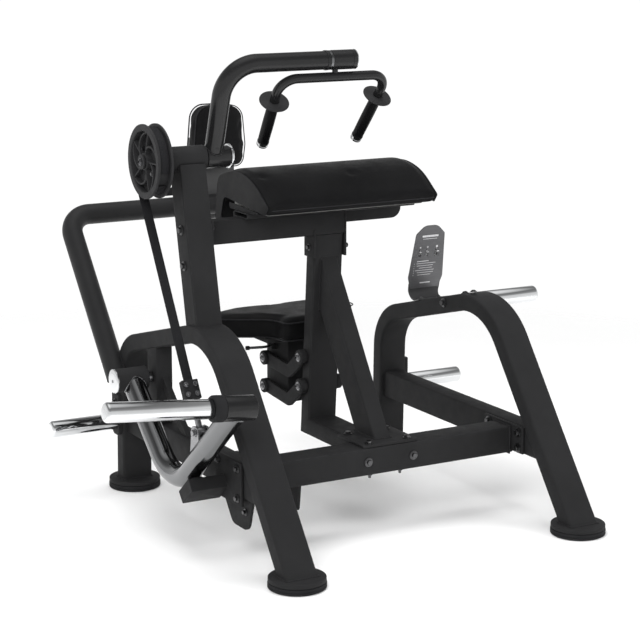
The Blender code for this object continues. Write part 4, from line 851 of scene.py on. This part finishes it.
def build_handle():
    centre = arm_point(ARM_LENGTH, 0.0)
    radius = 0.0265
    profile = [(0.0, 0.0128), (0.0, radius - 0.0022), (0.0010, radius - 0.0008), (0.0022, radius - 0.0002),
               (0.0045, radius), (0.0560, radius), (0.0590, radius), (0.0600, radius - 0.0008), (0.0600, 0.0128)]
    sleeve = lathe(bmesh.new(), centre + X_DIR * -0.0395, X_DIR, profile)
    piece("sleeve_cup", sleeve, COAT_GLOSS, "handle", 35, 0.0, ("handle_sleeve",))
    rim = [(0.0, radius - 0.0010), (0.0008, radius), (0.0110, radius), (0.0128, radius - 0.0007),
           (0.0140, radius - 0.0030), (0.0146, radius - 0.0070), (0.0148, 0.0060)]
    piece("sleeve_rim", lathe(bmesh.new(), centre + X_DIR * 0.0206, X_DIR, rim), COAT_GLOSS, "handle")
    edge = lathe(bmesh.new(), centre + X_DIR * 0.0322, X_DIR,
                 ring_profile(radius + 0.0004, radius - 0.0040, 0.0028, 0.0012), 64, True)
    piece("sleeve_edge_ring", edge, CHROME, "handle", 50)
    screw = bmesh.new()
    button_bolt(screw, centre + X_DIR * 0.0352, X_DIR, 0.0070)
    piece("sleeve_screw", screw, STEEL, "handle", 30)
    middle = centre + X_DIR * -0.0245 - Z_DIR * 0.045
    stem = lathe(bmesh.new(), middle - Z_DIR * 0.002, Z_DIR, bar_profile(0.008, 0.0245, 0.001), 40)
    piece("handle_stem", stem, COAT_GLOSS, "handle")
    directions = {-1: Vector((0.08, 0.598, -0.797)).normalized(), 1: Vector((-0.08, 0.598, -0.797)).normalized()}
    corners = {side: middle + X_DIR * (side * 0.1655) for side in (-1, 1)}
    ends = {side: corners[side] + directions[side] * 0.236 for side in (-1, 1)}
    binormal = X_DIR.cross(directions[-1]).normalized()
    stations = stations_along((ends[-1], corners[-1], corners[1], ends[1]), (0.048, 0.048), radians(3))
    bar = sweep(bmesh.new(), stations, binormal, circle_loop(0.0130, 40))
    piece("handle_bar", bar, COAT_GLOSS, "handle", 40)
    for side, label in ((-1, "left"), (1, "right")):
        direction = directions[side]
        grip = bmesh.new()
        profile = [(0.0, 0.0132), (0.0003, 0.0158), (0.0020, 0.0165), (0.0040, 0.0163), (0.0055, 0.0157)]
        steps = 16
        for i in range(steps + 1):
            along = 0.0055 + 0.129 * i / steps
            swell = 0.0006 * sin(pi * i / steps)
            profile.append((along, 0.0155 + swell))
        profile += [(0.1365, 0.0158), (0.1385, 0.0165), (0.1400, 0.0158), (0.1408, 0.0132)]
        lathe(grip, corners[side] + direction * 0.0823, direction, profile, 48)
        piece(f"{label}_grip_sleeve", grip, GRIP, "handle", 40, 0.0, (f"{label}_grip",))
        cap = lathe(bmesh.new(), corners[side] + direction * 0.2235, direction,
                    [(0.0, 0.0150), (0.0006, 0.0162), (0.0060, 0.0164), (0.0066, 0.0155), (0.0074, 0.0155),
                     (0.0080, 0.0164), (0.0118, 0.0160), (0.0145, 0.0140), (0.0158, 0.0100), (0.0162, 0.0030)], 48)
        piece(f"{label}_grip_cap", cap, CHROME, "handle", 60)
        disc = bmesh.new()
        profile = [(0.0, 0.0131), (0.0, 0.037), (0.0006, 0.0397), (0.0018, 0.0409), (0.0030, 0.0409),
                   (0.0042, 0.0397), (0.0048, 0.037), (0.0048, 0.0185), (0.0058, 0.0175), (0.0058, 0.0131)]
        lathe(disc, corners[side] + direction * 0.0758, direction, profile, 72, True)
        piece(f"{label}_stop_disc", disc, PLASTIC, "handle", 35, 0.0, (f"{label}_hand_stop",))


# ---------------------------------------------------------------- weight arm


def horn_profile(radius, length):
    """A plate horn: a straight bar with a softly rounded rim and a flat end."""
    rim = 0.0085
    profile = [(0.0, radius - 0.0008), (0.0008, radius)]
    for i in range(9):
        angle = pi / 2 * i / 8
        profile.append((length - rim + rim * sin(angle), radius - rim + rim * cos(angle)))
    return profile


def build_weight_arm():
    pivot = yz(WEIGHT_PIVOT, WEIGHT_X)
    tip = yz(WEIGHT_TIP, WEIGHT_X)
    corner = yz(WEIGHT_CORNER, WEIGHT_X)
    first = pivot + (corner - pivot).normalized() * 0.0200
    last = tip + (corner - tip).normalized() * 0.0200
    stations = stations_along((first, corner, last), (0.140,), radians(2.5))
    tube = sweep(bmesh.new(), stations, X_DIR, circle_loop(0.030, 64))
    piece("v_tube", tube, CHROME_DARK, "weight_arm", 40, 0.0, ("weight_arm_tube",))
    bead = bmesh.new()
    for centre, towards, across, seed in ((pivot, corner, X_DIR, 1.0), (tip, corner, HORN_AXIS, 2.0)):
        along = (towards - centre).normalized()
        side = along.cross(across).normalized()
        loop = []
        for i in range(28):
            angle = 2 * pi * i / 28
            b = 0.0302 * sin(angle)
            loop.append(centre + across * (0.0302 * cos(angle)) + side * b + along * sqrt(0.0328 ** 2 - b * b))
        weld_bead(bead, loop, 0.0024, seed)
    piece("v_tube_welds", bead, CHROME_DARK, "weight_arm", 60)
    ears = bmesh.new()
    for side in (-1, 1):
        corners = ((-0.020, 0.016), (0.018, 0.016), (0.030, -0.075), (-0.024, -0.040))
        outline = rounded_outline([(LINK_PIN[0] + a, LINK_PIN[1] + b) for a, b in corners], (0.014, 0.014, 0.0, 0.0))
        extrude(ears, outline, X_DIR * (WEIGHT_X + side * 0.014 - 0.003), Y_DIR, Z_DIR, X_DIR * 0.006)
    piece("link_ears", ears, STEEL, "weight_arm", 35, 0.0008)
    pin = bmesh.new()
    lathe(pin, yz(LINK_PIN, WEIGHT_X - 0.0225), X_DIR, bar_profile(0.006, 0.045, 0.0006), 32)
    hex_bolt(pin, yz(LINK_PIN, WEIGHT_X - 0.0170), -X_DIR, 0.0085)
    hex_bolt(pin, yz(LINK_PIN, WEIGHT_X + 0.0170), X_DIR, 0.0085)
    piece("link_pin_bolt", pin, STEEL, "weight_arm", 30)
    left = WEIGHT_X - 0.050
    hub = lathe(bmesh.new(), yz(WEIGHT_PIVOT, left), X_DIR, ring_profile(0.0325, 0.0154, 0.090, 0.0015), hollow=True)
    piece("v_hub", hub, COAT, "weight_arm", 35, 0.0, ("weight_arm_hub",))
    cap = lathe(bmesh.new(), yz(WEIGHT_PIVOT, left - 0.0004), -X_DIR, dome_profile(0.0333, 0.0068, 0.0034))
    piece("v_hub_cap", cap, CHROME, "weight_arm", 60, 0.0, ("weight_hub_cap",))
    mark = lathe(bmesh.new(), yz(WEIGHT_PIVOT, left - 0.0071), -X_DIR, dome_profile(0.0042, 0.0009, 0.0006), 24)
    piece("v_hub_mark", mark, STEEL, "weight_arm", 40)
    holder = lathe(bmesh.new(), tip - HORN_AXIS * 0.041, HORN_AXIS, bar_profile(0.0325, 0.084, 0.0022))
    piece("horn_sleeve", holder, COAT_GLOSS, "weight_arm", 35, 0.0, ("horn_holder",))
    profile = [(0.0, 0.0253), (0.0, 0.0310), (0.0012, 0.0330), (0.0040, 0.0335), (0.0230, 0.0335), (0.0265, 0.0328),
               (0.0290, 0.0310), (0.0300, 0.0285), (0.0300, 0.0253)]
    collar = lathe(bmesh.new(), tip + HORN_AXIS * 0.0433, HORN_AXIS, profile, 64, True)
    piece("horn_bumper_ring", collar, RUBBER, "weight_arm", 35, 0.0, ("horn_collar",))
    horn = lathe(bmesh.new(), tip + HORN_AXIS * 0.040, HORN_AXIS, horn_profile(0.0249, 0.3143), 72)
    piece("horn_bar", horn, CHROME, "weight_arm", 60, 0.0, ("weight_horn",))


def build_storage():
    face = ARCH_X + ARCH_WIDTH / 2 + GAP
    for name, side, y, z, block in (("rear_left", -1, FOOT_Y - 0.0015, 0.200, True),
                                    ("rear_right", 1, FOOT_Y - 0.0015, 0.200, True),
                                    ("top_right", 1, 0.0886, 0.5275, False)):
        base = Vector((side * face, y, z))
        horn = lathe(bmesh.new(), base + X_DIR * (side * 0.004), X_DIR * side, horn_profile(0.0239, 0.2068), 72)
        piece(f"{name}_horn_bar", horn, CHROME, "frame", 60, 0.0, (f"{name}_storage_horn",))
        plate = bmesh.new()
        if block:
            outline = rounded_outline(((-0.0225, -0.040), (0.0225, -0.040), (0.0225, 0.080), (-0.0225, 0.080)),
                                      (0.015, 0.015, 0.004, 0.004))
            extrude(plate, outline, base, Y_DIR, Z_DIR, X_DIR * (side * 0.012))
            piece(f"{name}_horn_plate", plate, COAT, "frame", 35, 0.0012)
            bolts = bmesh.new()
            hex_bolt(bolts, base + Vector((side * 0.012, 0.0, 0.056)), X_DIR * side, 0.0075)
            piece(f"{name}_horn_bolt", bolts, BOLT, "frame", 30)
        else:
            lathe(plate, base, X_DIR * side, bar_profile(0.0234, 0.012, 0.0015), 64)
            lathe(plate, base + X_DIR * (side * 0.011), X_DIR * side, bar_profile(0.0239, 0.006, 0.0012), 64)
            piece(f"{name}_horn_plate", plate, COAT, "frame", 35)


# ---------------------------------------------------------------- seat linkage


def build_seat_links():
    for name, front_z, rear_z in (("upper", 0.405, 0.360), ("lower", 0.322, 0.277)):
        plates = bmesh.new()
        front = Vector((0.0, 0.163, front_z))
        knee = Vector((0.0, 0.239, front_z - 0.057))
        rear = Vector((0.0, 0.378, rear_z))
        for side in (-1, 1):
            shift = X_DIR * (side * 0.054)
            stations = stations_along((front + shift, knee + shift, rear + shift), (0.020,), radians(6))
            sweep(plates, stations, X_DIR, rectangle_loop(0.010, 0.038, 0.0022, 3))
        piece(f"{name}_link_plates", plates, COAT, f"{name}_link", 35, 0.0, (f"{name}_link",))
        bosses = bmesh.new()
        for side in (-1, 1):
            for centre in (front, rear):
                start = centre + X_DIR * (side * 0.0458)
                lathe(bosses, start, X_DIR * side, bar_profile(0.021, 0.0206, 0.0030), 56)
        lathe(bosses, front - X_DIR * 0.064, X_DIR, bar_profile(0.009, 0.128, 0.0006), 32)
        piece(f"{name}_link_bosses", bosses, COAT, f"{name}_link", 35)
        heads = bmesh.new()
        for side in (-1, 1):
            for centre in (front, rear):
                lathe(heads, centre + X_DIR * (side * 0.0662), X_DIR * side, bar_profile(0.0125, 0.0018, 0.0006, 2), 32)
                button_bolt(heads, centre + X_DIR * (side * 0.0678), X_DIR * side, 0.0080)
        piece(f"{name}_link_bolts", heads, STEEL, f"{name}_link", 30)
    dress("seat_carriage", COAT, "seat")
    dress("seat_lever", BOLT, "seat_lever", 0.0)
    knob = lathe(bmesh.new(), Vector((-0.1172, 0.3613, 0.398)), Vector((-0.967, 0.254, 0.0)).normalized(),
                 bar_profile(0.0062, 0.0120, 0.0022), 32)
    piece("lever_knob", knob, PLASTIC, "seat_lever", 40)


# ---------------------------------------------------------------- soft goods


def soft_copy(name, mesh_data, mat, body, stands_for, voxel, cap, pressure, hold=None):
    """A closed form inflated as cloth, its swell capped, then smoothed by one subdivision."""
    bmesh.ops.recalc_face_normals(mesh_data, faces=mesh_data.faces)
    bmesh.ops.translate(mesh_data, verts=mesh_data.verts, vec=CENTRE)
    mesh = bpy.data.meshes.new(name)
    mesh_data.to_mesh(mesh)
    mesh_data.free()
    obj = bpy.data.objects.new(name, mesh)
    bpy.context.scene.collection.objects.link(obj)
    bpy.context.view_layer.objects.active = obj
    obj.select_set(True)
    remesh = obj.modifiers.new("remesh", "REMESH")
    remesh.mode = "VOXEL"
    remesh.voxel_size = voxel
    bpy.ops.object.modifier_apply(modifier=remesh.name)
    rest = [v.co.copy() for v in obj.data.vertices]
    cloth = obj.modifiers.new("cloth", "CLOTH")
    settings = cloth.settings
    settings.quality = 5
    settings.mass = 0.3
    settings.tension_stiffness = 18
    settings.compression_stiffness = 18
    settings.shear_stiffness = 8
    settings.bending_stiffness = 1.5
    settings.use_pressure = True
    settings.uniform_pressure_force = pressure
    settings.effector_weights.gravity = 0.0
    cloth.point_cache.frame_start = 1
    cloth.point_cache.frame_end = 20
    for step in range(1, 21):
        bpy.context.scene.frame_set(step)
    bpy.ops.object.modifier_apply(modifier=cloth.name)
    bpy.context.scene.frame_set(1)
    for vert, start in zip(obj.data.vertices, rest):
        move = vert.co - start
        limit = cap if hold is None else cap * hold(start - CENTRE)
        if move.length > limit:
            vert.co = start + move.normalized() * limit
    smooth = obj.modifiers.new("smooth", "SMOOTH")
    smooth.factor = 0.5
    smooth.iterations = 6
    bpy.ops.object.modifier_apply(modifier=smooth.name)
    subdivide = obj.modifiers.new("subdivide", "SUBSURF")
    subdivide.levels = 1
    subdivide.render_levels = 1
    bpy.ops.object.modifier_apply(modifier=subdivide.name)
    obj.select_set(False)
    obj.data.materials.clear()
    obj.data.materials.append(mat)
    obj.data.shade_smooth()
    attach(obj, body)
    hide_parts(*stands_for)
    return obj


def pad_outline(inset=0.0):
    """The arm pad's side profile, pulled in by an inset."""
    corners = [(0.264, 0.925), (0.151, 0.9560), (0.046, 0.9335), (-0.044, 0.868), (-0.020, 0.838), (0.219, 0.860),
               (0.239, 0.796), (0.287, 0.790)]
    outline = rounded_outline(corners, (0.045, 0.215, 0.215, 0.013, 0.010, 0.012, 0.012, 0.012), radians(4))
    if inset == 0.0:
        return outline
    moved = []
    count = len(outline)
    for i in range(count):
        before = (Vector(outline[i]) - Vector(outline[i - 1])).normalized()
        after = (Vector(outline[(i + 1) % count]) - Vector(outline[i])).normalized()
        along = (before + after).normalized()
        moved.append(tuple(Vector(outline[i]) + Vector((-along.y, along.x)) * inset))
    return moved


def cord(name, points, radius, mat, body, closed=True):
    """A round cord along a line of points, for piping."""
    mesh_data = bmesh.new()
    count = len(points)
    rings = []
    for i, point in enumerate(points):
        point = Vector(point)
        ahead = Vector(points[(i + 1) % count]) if closed or i + 1 < count else point
        behind = Vector(points[i - 1]) if closed or i > 0 else point
        tangent = (ahead - behind).normalized()
        side = tangent.cross(Vector((0.301, 0.502, 0.811))).normalized()
        up = tangent.cross(side).normalized()
        rings.append([mesh_data.verts.new(point + (side * cos(pi * k / 5) + up * sin(pi * k / 5)) * radius)
                      for k in range(10)])
    pairs = list(zip(rings, rings[1:]))
    if closed:
        pairs.append((rings[-1], rings[0]))
    else:
        mesh_data.faces.new(rings[0])
        mesh_data.faces.new(rings[-1])
    for first, second in pairs:
        for i in range(10):
            j = (i + 1) % 10
            mesh_data.faces.new((first[i], first[j], second[j], second[i]))
    return piece(name, mesh_data, mat, body, 80)


def build_arm_pad():
    core = bmesh.new()
    ends = ((0.2622, 0.0085), (0.2605, 0.0065), (0.2570, 0.0053), (0.2500, 0.0050))
    rings = []
    for x, inset in [(-x, inset) for x, inset in ends] + list(reversed(ends)):
        rings.append([core.verts.new((x, y, z)) for y, z in pad_outline(inset)])
    core.faces.new(rings[0])
    core.faces.new(rings[-1])
    for first, second in zip(rings, rings[1:]):
        for i in range(len(first)):
            j = (i + 1) % len(first)
            core.faces.new((first[i], first[j], second[j], second[i]))

    def hold(point):
        under = point.z < 0.8385 + 0.092 * (point.y + 0.02) + 0.012
        return 0.15 if under or abs(point.x) > 0.245 else 1.0

    cover = soft_copy("arm_pad_cover", core, LEATHER, "frame", ("arm_pad",), 0.0055, 0.005, 3.0, hold)
    dimples = (Vector((-0.226, 0.070, 0.938)), Vector((0.043, 0.055, 0.9325)))
    for vert in cover.data.vertices:
        for dimple in dimples:
            reach = (vert.co - CENTRE - dimple).length
            if reach < 0.06:
                vert.co.z -= 0.0045 * exp(-(reach / 0.016) ** 2)
    for side, label in ((-1, "left"), (1, "right")):
        cap = extrude(bmesh.new(), pad_outline(0.0080), X_DIR * (side * 0.2600), Y_DIR, Z_DIR, X_DIR * (side * 0.0040))
        # The end panels take the lighter upholstery copy, painted light.
        piece(f"arm_pad_{label}_panel", cap, LEATHER_PAINTED_LIT, "frame", 35, 0.0012)
        loop = [yz(p, side * 0.2630) for p in pad_outline(0.0076)]
        cord(f"arm_pad_{label}_stitch", loop, 0.0013, THREAD, "frame")
    lip = pad_outline(0.0002)
    low = min(lip, key=lambda p: (Vector(p) - Vector((-0.0385, 0.8580))).length)
    cord("arm_pad_lip_seam", [yz(low, x / 50 * 0.252) for x in range(-50, 51)], 0.0011, THREAD, "frame", False)
    bracket = bmesh.new()
    for side in (-1, 1):
        x = side * 0.2595
        outline = rounded_outline(((0.030, 0.8420), (0.196, 0.8420), (0.196, 0.8545), (0.030, 0.8460)),
                                  (0.002, 0.002, 0.002, 0.002))
        extrude(bracket, outline, X_DIR * (x - 0.0015), Y_DIR, Z_DIR, X_DIR * 0.003)
        foot = Vector((x - side * 0.010, 0.113, 0.8398))
        sweep(bracket, [(foot - Y_DIR * 0.077, Y_DIR), (foot + Y_DIR * 0.077, Y_DIR)], X_DIR,
              rectangle_loop(0.024, 0.0028, 0.0008, 2))
    piece("pad_end_brackets", bracket, COAT, "frame", 35)


def seat_outline(inset):
    right = ((0.090, 0.194), (0.098, 0.268), (0.228, 0.340), (0.228, 0.424), (0.130, 0.456))
    radii = (0.026, 0.050, 0.040, 0.036, 0.060)
    corners = [(x, y) for x, y in right] + [(-x, y) for x, y in reversed(right)]
    outline = rounded_outline(corners, radii + tuple(reversed(radii)))
    count = len(outline)
    moved = []
    for i in range(count):
        before = (Vector(outline[i]) - Vector(outline[i - 1])).normalized()
        after = (Vector(outline[(i + 1) % count]) - Vector(outline[i])).normalized()
        along = (before + after).normalized()
        moved.append(tuple(Vector(outline[i]) + Vector((-along.y, along.x)) * inset))
    return moved


def build_seat_pad():
    core = extrude(bmesh.new(), seat_outline(0.006), Z_DIR * 0.4445, X_DIR, Y_DIR, Z_DIR * 0.053)

    def hold(point):
        return 0.1 if point.z < 0.452 else 1.0

    soft_copy("seat_cover", core, LEATHER, "seat", ("seat_cushion",), 0.0055, 0.010, 4.0, hold)
    for name, z, inset in (("seat_piping", 0.4450, 0.0035), ("seat_top_seam", 0.4950, 0.0062)):
        cord(name, [Vector((x, y, z)) for x, y in seat_outline(inset)], 0.0018, THREAD, "seat")
    tray = bmesh.new()
    small = [(x, y) for x, y in seat_outline(0.012)]
    extrude(tray, small, Z_DIR * 0.4412, X_DIR, Y_DIR, Z_DIR * 0.0036)
    piece("seat_base_board", tray, BOARD_DARK, "seat", 35, 0.0006)


def build_back_pad():
    corners = ((-0.080, 0.862), (-0.0895, 0.930), (-0.078, 1.056), (0.078, 1.056), (0.0895, 0.930), (0.080, 0.862))
    outline = rounded_outline(corners, (0.030, 0.060, 0.046, 0.046, 0.060, 0.030))
    middle = Vector((0.0, 0.957))
    small = [tuple(middle + (Vector(p) - middle) * 0.955) for p in outline]
    core = extrude(bmesh.new(), small, Y_DIR * 0.7730, X_DIR, Z_DIR, Y_DIR * 0.0500)

    def hold(point):
        return 0.1 if point.y > 0.817 else 1.0

    soft_copy("back_cover", core, LEATHER, "frame", ("back_pad",), 0.005, 0.006, 4.0, hold)
    wide = [tuple(middle + (Vector(p) - middle) * 0.978) for p in outline]
    cord("back_piping", [Vector((x, 0.8200, z)) for x, z in wide], 0.0021, THREAD, "frame")
    near = [tuple(middle + (Vector(p) - middle) * 0.962) for p in outline]
    cord("back_face_seam", [Vector((x, 0.7775, z)) for x, z in near], 0.0016, THREAD, "frame")


# ---------------------------------------------------------------- placard


def build_placard():
    """The instruction plate on its bent bracket, with plain marks in place of print."""
    slope = (ARCH_REAR[1] - ARCH_APEX[1]) / (ARCH_REAR[0] - ARCH_APEX[0])
    tilt = atan(slope)
    lift = (ARCH_DEPTH / 2 + GAP + 0.0015) / cos(tilt)
    feet = [Vector((PLACARD_X, y, ARCH_APEX[1] + slope * (y - ARCH_APEX[0]) + lift)) for y in (0.245, 0.309)]
    up = Vector((0.0, -sin(PLACARD_LEAN), cos(PLACARD_LEAN)))
    back = Vector((0.0, cos(PLACARD_LEAN), sin(PLACARD_LEAN)))
    corner = feet[1] + up * 0.040
    stations = stations_along((feet[0], feet[1], corner + up * 0.016), (0.022,), radians(6))
    bracket = sweep(bmesh.new(), stations, X_DIR, rectangle_loop(0.096, 0.0030, 0.0012, 3))
    for vert in bracket.verts:
        reach = (vert.co - feet[1]).dot(up)
        if reach > 0.010:
            vert.co.x = PLACARD_X + (vert.co.x - PLACARD_X) * (1.0 + 0.14 * min(1.0, (reach - 0.010) / 0.030))
    piece("placard_bracket", bracket, SHEET_DARK, "frame", 35)
    half = 0.0597
    right = ((half - 0.011, 0.0), (half, 0.034), (half - 0.0105, 0.170), (0.022, 0.196))
    radii = (0.003, 0.020, 0.010, 0.030)
    outline = rounded_outline(list(right) + [(-a, b) for a, b in reversed(right)], radii + tuple(reversed(radii)))
    plate = extrude(bmesh.new(), outline, corner - back * 0.0026, X_DIR, up, back * 0.0030)
    piece("placard_plate", plate, SHEET, "frame", 35, 0.0005, ("placard",))
    marks = bmesh.new()

    def bar(x, height, width, thick):
        shape = rounded_outline(((x - width / 2, height - thick / 2), (x + width / 2, height - thick / 2),
                                 (x + width / 2, height + thick / 2), (x - width / 2, height + thick / 2)),
                                (thick * 0.4,) * 4, radians(30))
        extrude(marks, shape, corner - back * 0.0030, X_DIR, up, back * 0.0006)

    bar(0.0, 0.163, 0.056, 0.0060)
    bar(0.0, 0.1545, 0.048, 0.0014)
    for x, size in ((-0.030, 1.0), (-0.005, 1.0), (0.027, 1.5)):
        bar(x, 0.1285, 0.0048 * size, 0.0048 * size)
        bar(x - 0.0010, 0.1175, 0.0036 * size, 0.0100 * size)
        bar(x + 0.0030 * size, 0.1130, 0.0070 * size, 0.0020 * size)
        bar(x - 0.0020 * size, 0.1055, 0.0022 * size, 0.0085 * size)
        bar(x + 0.0034 * size, 0.1040, 0.0022 * size, 0.0070 * size)
    bar(-0.016, 0.0850, 0.040, 0.0022)
    for i in range(6):
        bar(-0.004 - 0.003 * (i % 2), 0.0780 - 0.0072 * i, 0.066 - 0.010 * (i % 3), 0.0013)
        bar(-0.0445, 0.0780 - 0.0072 * i, 0.0022, 0.0022)
    bar(0.0, 0.0165, 0.036, 0.0034)
    piece("placard_marks", marks, MARK, "frame", 30)
    screws = bmesh.new()
    normal = Vector((0.0, -sin(tilt), cos(tilt)))
    for x in (-0.030, 0.030):
        button_bolt(screws, feet[0].lerp(feet[1], 0.30) + X_DIR * x + normal * 0.0015, normal, 0.0050)
    piece("placard_screws", screws, SHEET_DARK, "frame", 30)


def build_rest_peg():
    peg = lathe(bmesh.new(), Vector((-0.4415, 0.4615, 0.193)), -Y_DIR,
                [(0.0, 0.011), (0.0015, 0.0125), (0.0050, 0.0125), (0.0065, 0.0085), (0.0160, 0.0080),
                 (0.0185, 0.0115), (0.0215, 0.0128), (0.0260, 0.0128), (0.0295, 0.0105), (0.0310, 0.0060)], 40)
    piece("front_peg", peg, CHROME, "frame", 50)


# ---------------------------------------------------------------- studio


def build_studio():
    world = bpy.data.worlds.new("studio")
    bpy.context.scene.world = world
    world.use_nodes = True
    nodes = world.node_tree.nodes
    links = world.node_tree.links
    surround = nodes["Background"]
    surround.inputs["Strength"].default_value = 1.0
    direction = nodes.new("ShaderNodeTexCoord")
    split = nodes.new("ShaderNodeSeparateXYZ")
    links.new(direction.outputs["Generated"], split.inputs["Vector"])
    height = nodes.new("ShaderNodeMapRange")
    height.inputs["From Min"].default_value = -1.0
    links.new(split.outputs["Z"], height.inputs["Value"])
    shade = nodes.new("ShaderNodeValToRGB")
    for position, level in ((0.47, 0.88), (0.52, 0.76), (0.62, 0.80), (0.74, 0.30), (0.88, 0.18)):
        stop = shade.color_ramp.elements.new(position)
        stop.color = (level, level, level, 1.0)
    shade.color_ramp.elements[0].color = (0.7, 0.7, 0.7, 1.0)
    links.new(height.outputs["Result"], shade.inputs["Fac"])
    links.new(shade.outputs["Color"], surround.inputs["Color"])
    white = nodes.new("ShaderNodeBackground")
    white.inputs["Strength"].default_value = 1.3
    seen = nodes.new("ShaderNodeLightPath")
    choose = nodes.new("ShaderNodeMixShader")
    links.new(seen.outputs["Is Camera Ray"], choose.inputs[0])
    links.new(surround.outputs["Background"], choose.inputs[1])
    links.new(white.outputs["Background"], choose.inputs[2])
    links.new(choose.outputs["Shader"], nodes["World Output"].inputs["Surface"])
    bpy.context.scene.view_settings.view_transform = "Standard"
    s = Shader("studio_paper")
    s.finish(s.ramp(s.noise(2.0, 2.0), ((0.3, (0.91, 0.91, 0.91)), (0.7, (0.93, 0.93, 0.93)))), 0.9)
    away = s.node("ShaderNodeVectorMath")
    away.operation = "LENGTH"
    s.link(s.place, away.inputs[0])
    fade = s.node("ShaderNodeMixShader")
    s.link(s.range(away.outputs["Value"], 0.0, 1.0, *FLOOR_FADE), fade.inputs[0])
    s.link(s.shader.outputs["BSDF"], fade.inputs[1])
    s.link(s.node("ShaderNodeBsdfTransparent").outputs["BSDF"], fade.inputs[2])
    s.link(fade.outputs["Shader"], s.tree.nodes["Material Output"].inputs["Surface"])
    floor = bmesh.new()
    bmesh.ops.create_circle(floor, cap_ends=True, radius=FLOOR_FADE[1] + 0.1, segments=96)
    bmesh.ops.translate(floor, verts=floor.verts, vec=Z_DIR * -0.0005)
    mesh = bpy.data.meshes.new("studio_floor")
    floor.to_mesh(mesh)
    floor.free()
    mesh.materials.append(s.material)
    obj = bpy.data.objects.new("studio_floor", mesh)
    bpy.context.scene.collection.objects.link(obj)
    for name, place, size, power in (("key", (-2.6, -2.6, 3.2), 2.6, 115.0), ("fill", (2.8, -2.6, 2.0), 2.4, 70.0),
                                     ("top", (0.0, 0.4, 3.6), 2.8, 80.0), ("rim", (-2.6, 2.0, 2.0), 1.6, 30.0)):
        light = bpy.data.lights.new(name, "AREA")
        light.shape = "DISK"
        light.size = size
        light.energy = power
        holder = bpy.data.objects.new(name, light)
        holder.location = place
        holder.visible_glossy = False
        aim = Vector((0.0, 0.0, 0.6)) - Vector(place)
        holder.rotation_euler = aim.to_track_quat("-Z", "Y").to_euler()
        bpy.context.scene.collection.objects.link(holder)
    camera_data = bpy.data.cameras.new("photo_view")
    camera_data.lens = 108.21
    camera_data.sensor_width = 36.0
    camera = bpy.data.objects.new("photo_view", camera_data)
    camera.location = Vector((-2.58297, -4.43890, 1.63691)) + CENTRE
    camera.rotation_euler = (radians(90 - 12.107), 0.0, radians(-29.338))
    bpy.context.scene.collection.objects.link(camera)
    bpy.context.scene.camera = camera


build_arches()
build_base()
build_welds()
build_bolts()
build_boom()
build_arm()
build_pulley()
build_belt()
build_link()
build_handle()
build_weight_arm()
build_storage()
build_seat_links()
build_rest_peg()
build_placard()
build_arm_pad()
build_seat_pad()
build_back_pad()
build_studio()
